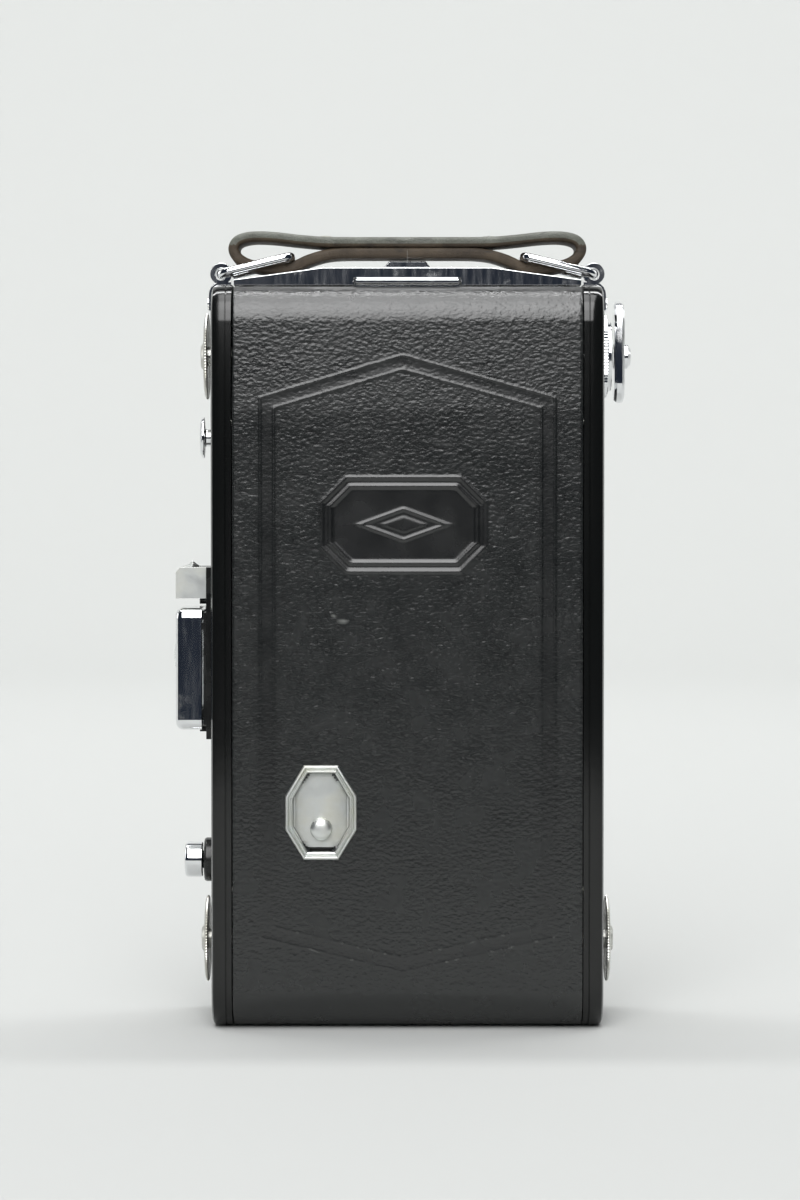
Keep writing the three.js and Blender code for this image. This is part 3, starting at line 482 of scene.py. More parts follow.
def catmull(points, steps):
    """A smooth line through points in a plane."""
    ends = [tuple(2 * a - b for a, b in zip(points[0], points[1]))]
    tail = [tuple(2 * a - b for a, b in zip(points[-1], points[-2]))]
    line = ends + list(points) + tail
    made = []
    for i in range(1, len(line) - 2):
        p0, p1, p2, p3 = (np.array(line[i + k]) for k in (-1, 0, 1, 2))
        for k in range(steps):
            t = k / steps
            made.append(0.5 * (2 * p1 + (p2 - p0) * t + (2 * p0 - 5 * p1 + 4 * p2 - p3) * t * t
                               + (3 * p1 - p0 - 3 * p2 + p3) * t ** 3))
    made.append(np.array(points[-1]))
    return made


# ---------------------------------------------------------------- CAD nodes that stay
def keep(node, look, bevel=0.15, segments=2):
    """A CAD node with softened edges and a real finish."""
    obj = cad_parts[node]
    mesh = obj.data
    for name in ("custom_normal", "sharp_edge"):
        if name in mesh.attributes:
            mesh.attributes.remove(mesh.attributes[name])
    mesh.polygons.foreach_set("use_smooth", [True] * len(mesh.polygons))
    mesh.materials.clear()
    mesh.materials.append(LOOK[look])
    weld = obj.modifiers.new("weld", "WELD")
    weld.merge_threshold = 1e-6
    flats = obj.modifiers.new("flats", "DECIMATE")
    flats.decimate_type = "DISSOLVE"
    flats.angle_limit = math.radians(0.6)
    add_bevel(obj, bevel, segments, 28.0)
    return obj


for cover in ("side_cover_left", "side_cover_right"):
    keep(cover, "enamel", 0.12)
for node in ("lower_shell", "upper_shell", "door_shell", "bed_panel", "lens_standard"):
    keep(node, "enamel", 0.1)
for node in ("inner_wall_left", "inner_wall_right", "film_gate", "pressure_plate", "strut_left",
             "strut_right", "stay_left", "stay_right", "rear_cell", "shutter_housing"):
    keep(node, "blackened", 0.12)
for node in ("lower_front_leather", "upper_front_leather"):
    keep(node, "leatherette", 0.12)
for node in ("tripod_bush", "latch_tongue", "winding_key", "latch_slide", "foot_hinge", "bed_foot",
             "bed_button", "speed_ring", "cocking_lever", "aperture_lever", "finder_rear_frame",
             "strap_lug_left", "strap_lug_right"):
    keep(node, "chrome", 0.18, 3)
keep("latch_bridge", "chrome", 0.14, 3)
keep("shutter_release", "chrome", 0.3, 3)
for node in ("guide_roller_lower", "guide_roller_upper", "door_hinge_pin", "bed_hinge_pin",
             "pressure_spring"):
    keep(node, "nickel", 0.15)
keep("release_collar", "gloss_black", 0.2, 3)
keep("rear_lens", "lens_glass", 0.08)
keep("front_lens", "lens_glass", 0.08)
keep("finder_front_lens", "finder_glass", 0.08)
keep("red_window", "ruby_glass", 0.08)
keep("take_up_spool", "spool_wood", 0.12)
base = keep("finder_base", "gloss_black", 0.3, 3)
base.data.materials.append(LOOK["silver"])
for face in base.data.polygons:
    if face.center.z > 88.8 * MM and face.center.x < -42.0 * MM:
        face.material_index = 1

# ---------------------------------------------------------------- embossed leather of the door
# the pressed frame across its line, measured inwards: (place, width, height)
FRAME_RIDGES = (0.2, 3.0)
FRAME_PROFILE = ((FRAME_RIDGES[0], 0.42, 0.13), (1.6, 1.5, -0.03), (FRAME_RIDGES[1], 0.42, 0.12))
FRAME_HALF = 30.5
FRAME_X = -1.0  # the frame's two tips stand over this place
SHOULDERS = (19.1, 130.6)
TIPS = (11.9, 139.4)
WINDOW_HOLE = (6.7, 9.0, 5.2)  # half width, half height and corner cut of the hole under the window's rim
PANEL = (-0.8, 104.4)  # centre of the plain pressed panel
PANEL_OUTLINE = (16.9, 9.7, 5.2)  # half width, half height and corner cut of the panel's rim
WORN_SPOTS = ((-13.3, 84.5, 1.1, 0.45), (-7.3, 3.0, 0.5, 0.5), (-15.2, 85.6, 0.5, 0.3))  # x, z and spread


def inside(x, z, planes):
    """Signed distance to a convex outline, negative inside."""
    return np.max([nx * x + nz * z - c for nx, nz, c in planes], axis=0)


def hexagon_planes():
    planes = [(1, 0, FRAME_HALF), (-1, 0, FRAME_HALF)]
    for side in (-1, 1):
        for shoulder, tip in zip(SHOULDERS, TIPS):
            edge = Vector((side * FRAME_HALF, shoulder)) - Vector((FRAME_X, tip))
            normal = Vector((-edge.y, edge.x)).normalized()
            if normal.y * (tip - shoulder) < 0:
                normal = -normal
            planes.append((normal.x, normal.y, normal.dot(Vector((FRAME_X, tip)))))
    return planes


def octagon_planes(half_x, half_z, cut):
    planes = [(1, 0, half_x), (-1, 0, half_x), (0, 1, half_z), (0, -1, half_z)]
    k = math.sqrt(0.5)
    planes += [(sx * k, sz * k, (half_x + half_z - cut) * k) for sx in (-1, 1) for sz in (-1, 1)]
    return planes


def bump(distance, width, high):
    """A rounded ridge, or a groove where high is negative."""
    return high * np.exp(-((distance / (0.5 * width)) ** 2))


def step_down(distance, width):
    """0 outside an outline and 1 inside it."""
    return 1 / (1 + np.exp(np.clip(distance * 4 / width, -30, 30)))


def door_relief(x, z):
    """Height over the leather's face, and where it is plain, and where it is scuffed or painted with ridge
    glints, over the door's face.
    """
    frame_at = -inside(x, z, hexagon_planes())
    pressed = 0.3 + 0.7 * np.clip((z - 20.0) / 50.0, 0, 1)  # the lower end of the frame has worn down
    height = pressed * sum(bump(frame_at - at, width, high) for at, width, high in FRAME_PROFILE)
    plain = np.exp(-(((frame_at - 1.6) / 2.0) ** 4)) * 0.5
    px, pz = x - PANEL[0], z - PANEL[1]
    rim = inside(px, pz, octagon_planes(*PANEL_OUTLINE))
    height = height + bump(rim, 0.6, 0.14) + bump(rim + 1.0, 0.7, -0.10) + bump(rim + 1.8, 0.55, 0.12)
    height = height - 0.16 * step_down(rim + 2.3, 0.4)
    plain = np.maximum(plain, step_down(rim - 0.3, 0.5))
    lozenge = inside(px, pz, [(sx * 0.34, sz * 0.94, 3.0) for sx in (-1, 1) for sz in (-1, 1)])
    height = height + bump(lozenge, 0.7, 0.16) + 0.10 * step_down(lozenge + 1.4, 0.4)
    rnd = np.sin(x * 1.9 + np.sin(z * 2.3) * 2.0) * np.sin(z * 1.3 + 1.7 * np.sin(x * 0.7))
    near_line = sum(np.exp(-(((frame_at - at) / 0.27) ** 2)) for at in FRAME_RIDGES)
    # the pale marks along the lower frame ridges are partly scuffed wear and partly painted highlight glints
    # on the ridges
    scuff_and_glint = near_line * np.clip(rnd - 0.1, 0, 1) * 0.55 * (z < 24) * (np.abs(x) > 3)
    for cx, cz, rx, rz in WORN_SPOTS:
        scuff_and_glint = scuff_and_glint + np.exp(-(((x - cx) / rx) ** 2 + ((z - cz) / rz) ** 2))
    return height, plain, np.clip(scuff_and_glint, 0, 1)


def graded(low, high, coarse, fine, bands):
    """Places from low to high, close together inside the bands."""
    places = [low]
    while places[-1] < high:
        here = places[-1]
        step = fine if any(a <= here <= b for a, b in bands) else coarse
        places.append(min(here + step, high))
    return places


def strip_line():
    """Points (y, z, ny, nz) along the door's outer face, from its strap end to its hinge end."""
    r = BACK_RADIUS
    low, high = DOOR_LOW[2] + r, DOOR_HIGH[2] - r
    flat = graded(low, high, 0.5, 0.21, ((9.0, 22.0), (93.5, 115.5), (127.5, 141.5)))
    line = [(DOOR_HIGH[1] + 0.2, high + r, 0.0, 1.0)]
    line += [(y, z, (y - BACK - r) / r, (z - high) / r) for y, z in arc(BACK + r, high, r, 90, 180, 30)]
    line += [(BACK, z, -1.0, 0.0) for z in reversed(flat[1:-1])]
    line += [(y, z, (y - BACK - r) / r, (z - low) / r) for y, z in arc(BACK + r, low, r, 180, 270, 30)]
    line.append((DOOR_FOOT, low - r, 0.0, -1.0))
    return line


def door_leather():
    line = np.array(strip_line())
    xs = np.array(graded(-HALF_PANEL, HALF_PANEL, 0.42, 0.2, ((-31.8, -27.0), (27.0, 31.8))))
    edge = 0.22  # rolled edge beside the covers
    gx, gi = np.meshgrid(xs, np.arange(len(line)))
    y, z, ny, nz = (line[gi, k] for k in range(4))
    height, plain, scuff_and_glint = door_relief(gx, z)
    flat = np.clip((-ny - 0.9) / 0.1, 0, 1)
    # 1 on the band under the strap, 2 on the rounded crown above it
    upper = np.clip((z - 126.5) / 3.0, 0, 1) + np.clip((z - 152.9) / 0.8, 0, 1)
    height = height * flat - 0.016 * np.clip(z - 128.0, 0, 18)
    rolled = np.minimum(0, (HALF_PANEL - np.abs(gx)) - edge)
    height = height - (rolled ** 2) * 2.5
    points = np.stack([gx, y + ny * height, z + nz * height], axis=-1).reshape(-1, 3)
    wide = len(xs)
    hole = inside(gx - WINDOW[0], z - WINDOW[1], octagon_planes(*WINDOW_HOLE)) < 0
    hole &= ny < -0.99
    faces = []
    for i in range(len(line) - 1):
        for k in range(wide - 1):
            corners = (hole[i, k], hole[i, k + 1], hole[i + 1, k + 1], hole[i + 1, k])
            if not all(corners):
                a = i * wide + k
                faces.append((a, a + wide, a + wide + 1, a + 1))
    attributes = {"plain": plain * flat, "scuff_and_glint": scuff_and_glint * flat, "upper": upper}
    leather_skin("door_leather_skin", points, faces, attributes, "back_door", "door_leather")


door_leather()

# ---------------------------------------------------------------- window with its shutter


def window_outline(half_x, half_z, inset):
    kx, kz = (half_x - inset) / half_x, (half_z - inset) / half_z
    cx, cz = half_x * 0.48, half_z * 0.36
    corners = [(cx, half_z), (half_x, cz), (half_x, -cz), (cx, -half_z)]
    corners += [(-x, z) for x, z in reversed(corners)]
    return [(WINDOW[0] + x * kx, WINDOW[1] + z * kz) for x, z in corners]


def window_bezel():
    """A bright flat rim, a groove, a second thinner rim and the edge of the opening."""
    steps = ((7.4, 9.75, -19.1), (7.4, 9.75, -19.8), (7.2, 9.55, -20.1), (6.85, 9.2, -20.15),
             (6.65, 9.0, -19.9), (6.5, 8.85, -19.62), (6.38, 8.72, -19.62), (6.26, 8.6, -19.9),
             (6.05, 8.38, -19.92), (5.85, 8.16, -19.7), (5.72, 8.02, -17.78))
    rings = [[(x, y, z) for x, z in window_outline(hx, hz, 0)] for hx, hz, y in steps]
    points = [p for ring in rings for p in ring]
    faces = walls(len(rings), len(rings[0]), True)
    mesh_piece("window_rim", points, faces, "silver", "back_door", "chrome", replaces=("window_bezel",),
               smooth=20.0, bevel=0.07)


def window_shutter():
    """A thin sliding plate behind the rim, with a raised field and a domed pip to push it by."""
    low, high = box_mm("window_shutter")
    x0 = WINDOW[0]

    def field_outline(k):
        left, right = x0 - 5.3 * k, x0 + 5.3 * k
        bottom, top = low[2] + k, high[2] - 1.4 - k
        return [(left, bottom), (right, bottom), (right, top), (left, top)]

    plate = block(x0 - 6.6, x0 + 6.6, -17.58, -17.25, low[2], high[2])
    field = loft("y", [(y, field_outline(k)) for k, y in ((1.0, -17.5), (1.0, -17.62), (0.985, -17.66))])
    pip_rows = [(0, -17.5), (2.3, -17.5), (2.25, -18.3), (2.2, -19.3), (1.9, -19.6), (1.3, -19.8),
                (0.6, -19.88), (0, -19.9)]
    pip = lathe("y", (x0, 0, PIP_Z), pip_rows, 40)
    points, faces = merged(plate, field, pip)
    mesh_piece("window_slide", points, faces, "silver", "window_cover", "nickel",
               replaces=("window_shutter",), smooth=35.0, bevel=0.05)


window_bezel()
window_shutter()


# ---------------------------------------------------------------- lid over the finder's front lens
LID = (-10.3, 11.3, 61.5, 86.9)  # y and z limits
LID_WINDOW = (-6.8, 6.6, 64.8, 83.6)
EDGE_LOOP = 0.05  # an extra loop this close to a rounded edge keeps the flat beside it flat


def lid_ring(x, limits, inset, bend):
    """A closed outline with rounded corners, inset from the limits."""
    y0, y1, z0, z1 = limits[0] + inset, limits[1] - inset, limits[2] + inset, limits[3] - inset
    corners = ((y1 - bend, z1 - bend, 0), (y0 + bend, z1 - bend, 90), (y0 + bend, z0 + bend, 180),
               (y1 - bend, z0 + bend, 270))
    ring = []
    for cy, cz, start in corners:
        a = math.radians(start)
        ty, tz = -EDGE_LOOP * math.sin(a), EDGE_LOOP * math.cos(a)
        bow = arc(cy, cz, bend, start, start + 90, 6)
        ring += [(x, bow[0][0] - ty, bow[0][1] - tz)] + [(x, y, z) for y, z in bow]
        ring.append((x, bow[-1][0] - tz, bow[-1][1] + ty))
    return ring


def finder_lid():
    """The finder's front frame: a shallow pressed lid with rounded edges, a window and a hinge roll."""
    round_r, face, edge, wall, bend = 1.5, -48.3, -42.9, 0.7, 2.1
    rings = [lid_ring(face + 0.8, LID_WINDOW, 0.0, 0.6), lid_ring(face + 0.2, LID_WINDOW, 0.0, 0.6),
             lid_ring(face, LID_WINDOW, -0.2, 0.7), lid_ring(face, LID, round_r + EDGE_LOOP, 0.6)]
    for degrees in (0, 18, 36, 54, 72, 90):
        a = math.radians(degrees)
        inset = round_r * (1 - math.sin(a))
        rings.append(lid_ring(face + round_r * (1 - math.cos(a)), LID, inset, bend - inset))
    rings += [lid_ring(face + round_r + EDGE_LOOP, LID, 0.0, bend), lid_ring(edge, LID, 0.0, bend),
              lid_ring(edge, LID, wall, bend - wall), lid_ring(face + 0.8, LID, wall, bend - wall)]
    lid = ([p for ring in rings for p in ring], walls(len(rings), len(rings[0]), True))
    roll = lathe("z", (-43.5, 10.3, 0), [(0, 61.6), (0.8, 61.6), (0.8, 86.8), (0, 86.8)], 24)
    web = block(-46.9, -43.5, 9.9, 10.7, 62.4, 86.0)
    points, faces = merged(lid, roll, web)
    mesh_piece("finder_lid", points, faces, "chrome", "finder_front", "chrome",
               replaces=("finder_front_frame",), smooth=40.0)


finder_lid()

# ---------------------------------------------------------------- spool knobs and winding disc
TOOTH_DEPTH = 0.22


def milled_disc(side, base_at, r, thick):
    """Profile rows of a milled disc that starts at base_at and grows outwards along X."""
    a, b = base_at, base_at + thick
    milled = [(r, side * (a + 0.15), TOOTH_DEPTH), (r, side * (b - 0.15), TOOTH_DEPTH)]
    return [(r - 0.25, side * a)] + milled + [(r - 0.25, side * b)]


def spool_knob(name, node, body, side, z):
    profile = [(0, side * 31), (2.1, side * 31), (2.1, side * 41.7)]
    profile += milled_disc(side, 41.7, 9.0, 0.55)
    profile += [(8.2, side * 42.45), (7.6, side * 42.3), (3.4, side * 42.3), (3.0, side * 42.5),
                (2.6, side * 43.1), (2.2, side * 43.3), (0, side * 43.3)]
    solid = lathe("x", (0, SPOOL_Y, z), profile, 180, 90)
    mesh_piece(name, *solid, "nickel", body, "nickel", replaces=(node,), smooth=30.0)


for name, node, body, side, z in (
    ("knob_upper_left", "spool_knob_upper", "knob_upper", -1, UPPER_SPOOL_Z),
    ("knob_lower_left", "spool_knob_lower_left", "knob_lower_left", -1, LOWER_SPOOL_Z),
    ("knob_lower_right", "spool_knob_lower_right", "knob_lower_right", 1, LOWER_SPOOL_Z),
):
    spool_knob(name, node, body, side, z)


def winder():
    profile = [(0, 29), (2.6, 29), (2.6, 40.7)] + milled_disc(1, 40.7, 8.6, 1.15)
    profile += [(7.6, 41.95), (7.4, 42.0), (7.4, 42.5), (7.2, 42.65), (3.6, 42.7), (3.3, 42.95), (0, 43.0)]
    solid = lathe("x", (0, SPOOL_Y, UPPER_SPOOL_Z), profile, 160, 80)
    mesh_piece("winder_disc", *solid, "chrome", "winder", "chrome", replaces=("winding_shaft",), smooth=30.0)


winder()

# ---------------------------------------------------------------- strap and its rings
STRAP_LINE = [
    (0.02, 161.0), (8, 161.0), (13.5, 160.95), (17, 160.6), (20.5, 159.6), (24.4, 158), (29, 157.8),
    (33, 158.6), (35.4, 160.0), (36.3, 161.9), (35.3, 163.6), (32.4, 164.38), (28, 164.3),
    (22.5, 163.7), (17, 163.28), (8, 163.23),
]


RIVET_X = 17.2


def rounded_section(half_wide, half_thick, r):
    """Outline (across, over) of a band whose edges are rounded."""
    steps = 4
    corners = ((1, 1, 0), (-1, 1, 90), (-1, -1, 180), (1, -1, 270))
    return [spot for sx, sy, start in corners
            for spot in arc(sx * (half_wide - r), sy * (half_thick - r), r, start, start + 90, steps)]


def strap():
    """A band folded back through both rings until its ends meet in the middle."""
    points = [(-x, z) for x, z in STRAP_LINE] + [(x, z) for x, z in reversed(STRAP_LINE)]
    line = catmull(points, 7)
    section = rounded_section(STRAP_HALF, STRAP_THICK / 2, 0.8)
    points = []
    for i, (x, z) in enumerate(line):
        tx, tz = line[min(i + 1, len(line) - 1)] - line[max(i - 1, 0)]
        size = math.hypot(tx, tz)
        nx, nz = -tz / size, tx / size
        for y, over in section:
            wave = 0.05 * math.sin(0.9 * x + 2.0 * math.copysign(1, y)) * (abs(y) > STRAP_HALF - 1)
            points.append((x + nx * over, y + wave, z + nz * over))
    size = len(section)
    faces = walls(len(line), size)
    faces += [tuple(range(size)), tuple(range((len(line) - 1) * size, len(line) * size))]
    obj = mesh_piece("strap_band", points, faces, "strap_face_painted_sheen", "strap", "strap_hide",
                     replaces=("carry_strap",), smooth=50.0)
    obj.data.materials.append(LOOK["strap_edge_and_shade"])
    for face in obj.data.polygons:
        centre = face.center / MM
        over = sum(section[v % size][1] for v in face.vertices) / len(face.vertices)
        # faces underneath or low down take the darker brown finish: the edge's own colour and painted shade
        if over < -0.2 or centre.z < 162.6:
            face.material_index = 1
    for x in (-RIVET_X, RIVET_X):
        profile = [(0, 163.9), (1.9, 163.9), (1.9, 164.5), (1.5, 164.75), (0.8, 164.88), (0, 164.9)]
        head = lathe("z", (x, 0, 0), profile, 32)
        end = "left" if x < 0 else "right"
        mesh_piece(f"strap_rivet_{end}", *head, "nickel", "strap", "nickel", bevel=0.05)


def strap_ring(side):
    reach = Vector((RING_END[0] - EYELET[0], 0, RING_END[1] - EYELET[1]))
    length = reach.length
    along = reach.normalized()
    bend = 1.6
    path = []
    corners = ((bend, bend - RING_HALF, 270, 180), (bend, RING_HALF - bend, 180, 90),
               (length - bend, RING_HALF - bend, 90, 0), (length - bend, bend - RING_HALF, 0, -90))
    for u, v, start, end in corners:
        for a, b in arc(u, v, bend, start, end, 8):
            spot = Vector((EYELET[0], 0, EYELET[1])) + along * a + Vector((0, b, 0))
            path.append((side * spot.x, spot.y, spot.z))
    solid = tube(path, WIRE_R, (side * -along.z, 0, along.x))
    end = "right" if side > 0 else "left"
    mesh_piece(f"ring_wire_{end}", *solid, "chrome", f"ring_{end}", "chrome", replaces=(f"strap_ring_{end}",),
               smooth=60.0)


strap()
strap_ring(1)
strap_ring(-1)

# ---------------------------------------------------------------- bellows
GATE_Y, BOARD_Y = -12.7, -3.4  # the folded bellows lie between the film gate and the lens standard
GATE_Z, BOARD_Z = 77.0, 97.0
GATE_HALF, BOARD_HALF = (28.6, 43.4), (20.2, 22.5)
PLEATS = 21
PLEAT_DEPTH = 1.5
CLOTH = 0.35


def unsmooth(w):
    """The place whose smoothstep weight is w."""
    return 0.5 - math.sin(math.asin(1 - 2 * w) / 3)


def bellows_folds():
    """Folds as (y, half width, half height, middle height, corner cut), from film gate to standard."""
    folds = []
    last = 2 * PLEATS
    for i in range(last + 1):
        w = i / last
        y = GATE_Y + (BOARD_Y - GATE_Y) * unsmooth(w)
        fold = PLEAT_DEPTH if i % 2 else -PLEAT_DEPTH
        if i in (0, last):
            fold = 0.0
        half_x, half_z = (gate + (board - gate) * w + fold for gate, board in zip(GATE_HALF, BOARD_HALF))
        mid = GATE_Z + (BOARD_Z - GATE_Z) * w
        cut = 5.5 if fold > 0 else 2.2
        folds.append((y, half_x, half_z, mid, cut))
    return folds


def bellows():
    """A pleated sleeve that narrows towards the standard, its corners cut deeper at the outer folds."""
    folds = bellows_folds()
    points = []
    for skin, order in ((0.0, folds), (CLOTH, folds[::-1])):
        for y, hx, hz, mid, cut in order:
            hx, hz = hx - skin, hz - skin
            corners = [(hx, hz - cut), (hx - cut, hz)]
            outline = corners + [(-x, z) for x, z in reversed(corners)]
            outline += [(-x, -z) for x, z in corners] + [(x, -z) for x, z in reversed(corners)]
            points.extend((x, y, mid + z) for x, z in outline)
    faces = walls(2 * len(folds), 8, True)
    mesh = bpy.data.meshes.new("bellows_pleats")
    mesh.from_pydata([(x * MM, y * MM, z * MM) for x, y, z in points], [], faces)
    work = bmesh.new()
    work.from_mesh(mesh)
    bmesh.ops.recalc_face_normals(work, faces=work.faces)
    work.to_mesh(mesh)
    work.free()
    obj = linked("bellows_pleats", mesh, "bellows_skin")
    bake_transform(obj)
    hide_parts("bellows")


bellows()

# ---------------------------------------------------------------- bed leather with a pressed border


def bed_leather():
    low, high = box_mm("bed_leather")
    step = 0.5
    xs = np.linspace(low[0], high[0], int((high[0] - low[0]) / step))
    zs = np.linspace(low[2], high[2], int((high[2] - low[2]) / step))
    gx, gz = np.meshgrid(xs, zs)
    mid = (low[2] + high[2]) / 2
    border = inside(gx, gz - mid, octagon_planes(31.5, (high[2] - low[2]) / 2 - 4.5, 9.0))
    height = bump(border, 0.9, -0.18) + bump(border + 1.1, 0.9, 0.16) + bump(border + 2.2, 0.9, -0.18)
    plain = np.exp(-(((border + 1.1) / 1.7) ** 4)) * 0.8
    points = np.stack([gx, high[1] + height, gz], axis=-1).reshape(-1, 3)
    wide = len(xs)
    faces = [(i * wide + k, (i + 1) * wide + k, (i + 1) * wide + k + 1, i * wide + k + 1)
             for i in range(len(zs) - 1) for k in range(wide - 1)]
    leather_skin("bed_leather_skin", points, faces, {"plain": plain}, "bed", "bed_leather")


bed_leather()

# ---------------------------------------------------------------- lens front


def focus_ring():
    """The front cell: a ribbed grip, a chamfer and a rounded lip."""
    profile = [(9.5, 6.5), (13.2, 6.5), (13.9, 6.9), (14.0, 7.2, 0.35), (14.0, 10.6, 0.35),
               (13.7, 11.0), (13.2, 12.6), (12.9, 12.95), (11.3, 13.0), (10.9, 12.8), (10.6, 12.2),
               (10.1, 12.2), (9.5, 11.2), (9.5, 6.5)]
    solid = lathe("y", (0, 0, LENS_Z), profile, 216, 54)
    mesh_piece("front_cell", *solid, "gloss_black", "focus", "blackened", replaces=("focus_ring",),
               smooth=30.0)


def number(name, label, size):
    """A short, slightly thick text."""
    curve = bpy.data.curves.new(name, "FONT")
    curve.body = label
    curve.size = size * MM
    curve.extrude = 0.04 * MM
    curve.align_x = "CENTER"
    curve.align_y = "CENTER"
    curve.resolution_u = 3
    text = bpy.data.objects.new(name, curve)
    scene.collection.objects.link(text)
    return text


def mesh_of_texts(name, texts):
    """One mesh that takes the place of the texts, which are removed."""
    bpy.context.view_layer.update()
    graph = bpy.context.evaluated_depsgraph_get()
    work = bmesh.new()
    for text in texts:
        mesh = text.evaluated_get(graph).to_mesh()
        mesh.transform(text.matrix_world)
        work.from_mesh(mesh)
        text.evaluated_get(graph).to_mesh_clear()
    for text in texts:
        bpy.data.objects.remove(text)
    mesh = bpy.data.meshes.new(name)
    work.to_mesh(mesh)
    work.free()
    mesh.materials.clear()
    return mesh


def dial(name, labels, radius, y, size, start, step, body, look):
    """Small numbers standing on a ring round the lens, facing forwards."""
    stand = Matrix.Rotation(math.radians(90), 4, "X")
    face_front = Matrix.Rotation(math.radians(180), 4, "Z")
    texts = []
    for i, label in enumerate(labels):
        text = number(f"{name}_{i}", label, size)
        turn = Matrix.Rotation(math.radians(start + step * i), 4, "Y")
        place = Matrix.Translation((0, y * MM, LENS_Z * MM)) @ turn @ Matrix.Translation((0, 0, radius * MM))
        text.matrix_world = place @ face_front @ stand
        texts.append(text)
    mesh = mesh_of_texts(name, texts)
    obj = linked(name, mesh, look)
    for face in mesh.polygons:
        face.material_index = 0
    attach(obj, body)


def ticks(name, radius, long, y, wide, start, step, count, body, look, slot):
    """Fine scale lines round the lens axis."""
    solids = []
    for i in range(count):
        angle = math.radians(start + step * i)
        reach = long * (1.6 if i % 5 == 0 else 1.0)
        line = block(-wide / 2, wide / 2, y, y + 0.06, radius, radius + reach)
        turn = Matrix.Translation((0, 0, LENS_Z)) @ Matrix.Rotation(angle, 4, "Y")
        solids.append(moved(line, turn))
    mesh_piece(name, *merged(*solids), look, body, slot)


def iris():
    """Five thin shutter blades in front of the web, closed up to a small opening."""
    solids = []
    for i in range(5):
        outline = arc(0, 0, 11.4, -20, 75, 10) + [(3.0, 3.3), (3.1, -0.6), (6.5, -4.0)]
        y = 1.55 + 0.09 * i
        blade = loft("y", [(y, outline), (y + 0.05, outline)])
        turn = Matrix.Translation((0, 0, LENS_Z)) @ Matrix.Rotation(math.radians(72 * i), 4, "Y")
        solids.append(moved(blade, turn))
    mesh_piece("shutter_blades", *merged(*solids), "nickel", "lens_board", "nickel", smooth=20.0)


def lens_trim():
    rows = [(21.2, 5.3), (22.0, 5.3), (22.0, 5.75), (21.75, 6.05), (21.35, 6.15), (21.2, 6.0), (21.2, 5.3)]
    rim = lathe("y", (0, 0, LENS_Z), rows, 96)
    mesh_piece("shutter_rim", *rim, "chrome", "lens_board", "chrome", smooth=30.0)


focus_ring()
dial("speed_numbers", ["1", "2", "5", "10", "25", "50", "100", "200"], 18.4, 7.76, 2.3, -56, 16, "speed_dial",
     "black_paint")
ticks("speed_ticks", 19.7, 0.5, 7.70, 0.16, -64, 4, 33, "speed_dial", "black_paint", "blackened")
dial("distance_numbers", ["1.5", "2", "3", "5", "10"], 12.25, 13.02, 1.1, 100, 28, "focus", "white_paint")
iris()
lens_trim()

# ---------------------------------------------------------------- screws and rivets


SCREW_SPOTS = ((12.0, 30.0), (12.0, 124.0), (-12.0, 27.0), (-12.0, 127.0))  # y and z


def cover_screw(name, at, side, slot_turn):
    """A domed head with a cut across it, standing on a side cover."""
    r, high = 1.25, 0.3
    rows = ((0, -0.05), (r, -0.05), (r, 0.4 * high), (0.82 * r, 0.8 * high), (0.45 * r, high), (0, high))
    head = lathe("x", (0, at[1], at[2]), [(radius, at[0] + side * out) for radius, out in rows], 28)
    obj = mesh_piece(name, *head, "nickel", "camera_body", "nickel", smooth=35.0)
    across = Matrix.Rotation(math.radians(slot_turn), 3, "X") @ Vector((0, 0, 1))
    foot = Vector(at) * MM
    work = bmesh.new()
    work.from_mesh(obj.data)
    for offset in (-0.16 * r, 0.16 * r):
        geom = work.verts[:] + work.edges[:] + work.faces[:]
        bmesh.ops.bisect_plane(work, geom=geom, plane_co=foot + across * offset * MM, plane_no=across)
    for vertex in work.verts:
        in_cut = abs((vertex.co - foot).dot(across)) < 0.15 * r * MM
        if in_cut and (vertex.co.x - foot.x) * side > 0.02 * MM:
            vertex.co.x -= side * high * 0.5 * MM
    work.to_mesh(obj.data)
    work.free()


def cover_screws():
    """Four heads on each side cover, each turned its own way."""
    ends = (("left", box_mm("side_cover_left")[0][0], -1), ("right", box_mm("side_cover_right")[1][0], 1))
    for end, x, side in ends:
        for i, (y, z) in enumerate(SCREW_SPOTS):
            cover_screw(f"cover_screw_{end}_{i}", (x, y, z), side, 35.0 * i + 15.0)


cover_screws()

# ---------------------------------------------------------------- floor, light and camera


def stage_piece(name, points, faces, color):
    mesh = bpy.data.meshes.new(name)
    mesh.from_pydata(points, [], faces)
    mesh.polygons.foreach_set("use_smooth", [True] * len(mesh.polygons))
    obj = bpy.data.objects.new(name, mesh)
    scene.collection.objects.link(obj)
    mesh.materials.append(Graph(name, color, 0.9).material)
    return obj


def turned_sheet(name, profile, start, end, color):
    """Part of a surface turned round the Z axis."""
    columns = 48
    points, faces = [], []
    for k in range(columns + 1):
        angle = math.radians(start + (end - start) * k / columns)
        points += [(r * math.cos(angle), r * math.sin(angle), h) for r, h in profile]
    size = len(profile)
    for k in range(columns):
        for i in range(size - 1):
            a = k * size + i
            faces.append((a, a + size, a + size + 1, a + 1))
    return stage_piece(name, points, faces, color)


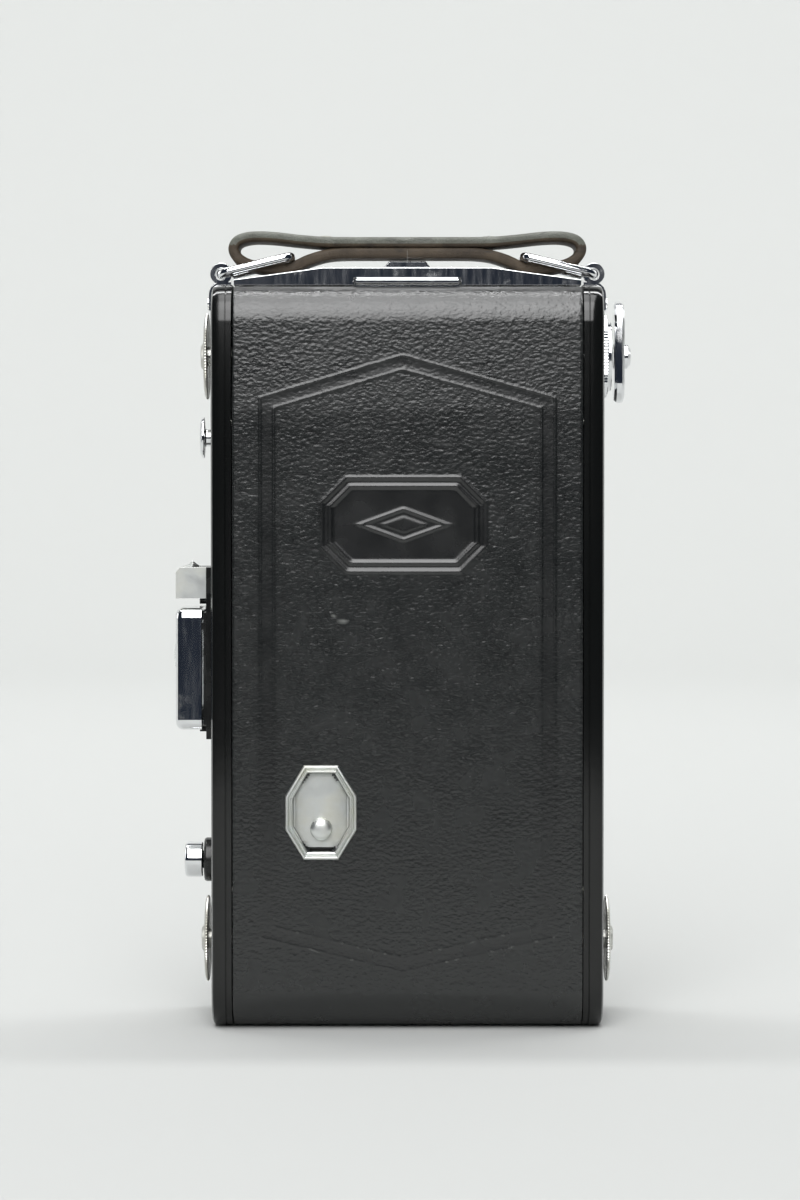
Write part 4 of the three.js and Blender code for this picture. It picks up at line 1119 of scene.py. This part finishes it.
PAPER = (0.485, 0.494, 0.484)
TABLE_FRONT = 0.5  # the bright table ends here in front of the object; the room behind the camera is dim
COVE = 0.8  # radius of the curve between floor and wall
COVE_FOOT = 1.4
WALL = [(COVE_FOOT, 0.0)]
WALL += [(COVE_FOOT + COVE * math.sin(a), COVE - COVE * math.cos(a))
         for a in np.linspace(0.1, math.pi / 2, 14)]
WALL.append((COVE_FOOT + COVE, 3.0))
turned_sheet("backdrop_far", [(0.0, 0.0), (0.7, 0.0)] + WALL, 0.0, 180.0, PAPER)
turned_sheet("table_near", [(0.0, 0.0), (TABLE_FRONT, 0.0)], 180.0, 360.0, PAPER)
near = turned_sheet("backdrop_near", [(TABLE_FRONT, 0.0)] + WALL, 180.0, 360.0, PAPER)
near.visible_glossy = False
near.visible_diffuse = False


def soft_panel(name, place, target, size, radiance):
    """An even rectangular panel of light."""
    light = bpy.data.lights.new(name, "AREA")
    light.shape = "RECTANGLE"
    light.size, light.size_y = size
    light.energy = radiance * math.pi * size[0] * size[1]
    obj = bpy.data.objects.new(name, light)
    obj.location = place
    obj.rotation_euler = (Vector(target) - Vector(place)).to_track_quat("-Z", "Y").to_euler()
    obj.visible_camera = False
    scene.collection.objects.link(obj)


ARCH = ((13.0, 40.0, 5.4), (40.0, 67.0, 6.4), (67.0, 94.0, 4.2))  # lower and upper elevation, radiance
ARCH_WIDE = 0.8
ARCH_RADIUS = 1.5
ARCH_TURN = math.radians(-5.0)


def arch_light():
    """A wide soft light that arches over the camera, from low in front to overhead, a little to the left."""
    centre = Vector((0, 0, 0.09))
    for i, (low, high, radiance) in enumerate(ARCH):
        up = math.radians((low + high) / 2)
        out = Vector((math.sin(ARCH_TURN) * math.cos(up), -math.cos(ARCH_TURN) * math.cos(up), math.sin(up)))
        tall = 2 * ARCH_RADIUS * math.tan(math.radians((high - low) / 2))
        soft_panel(f"arch_{i}", centre + out * ARCH_RADIUS, centre, (ARCH_WIDE, tall), radiance)


arch_light()
soft_panel("wall_light", (0.0, 0.55, 2.1), (0, 2.3, 0.7), (2.4, 0.5), 18.0)
soft_panel("left_fill", (-1.5, 0.3, 0.5), (0, 0, 0.1), (0.9, 0.9), 1.3)
soft_panel("right_fill", (1.5, 0.5, 0.9), (0, 0, 0.1), (0.7, 1.0), 1.0)

world = bpy.data.worlds.new("studio")
world.use_nodes = True
world.node_tree.nodes["Background"].inputs["Color"].default_value = (0.016, 0.021, 0.032, 1)
world.node_tree.nodes["Background"].inputs["Strength"].default_value = 1.0
scene.world = world

VIEW_DISTANCE = 0.741
VIEW_TILT = math.radians(1.8)
TARGET = Vector((-0.00154, BACK * MM, 0.0889))
camera_data = bpy.data.cameras.new("camera")
camera_data.sensor_fit = "VERTICAL"
camera_data.sensor_height = 36.0
camera_data.lens = 108.1
camera_data.clip_start = 0.01
camera_object = bpy.data.objects.new("camera", camera_data)
camera_object.location = TARGET + VIEW_DISTANCE * Vector((0, -math.cos(VIEW_TILT), math.sin(VIEW_TILT)))
camera_object.rotation_euler = (TARGET - camera_object.location).to_track_quat("-Z", "Y").to_euler()
scene.collection.objects.link(camera_object)
scene.camera = camera_object
scene.view_settings.view_transform = "Standard"  # plain tones, as a product photograph has them
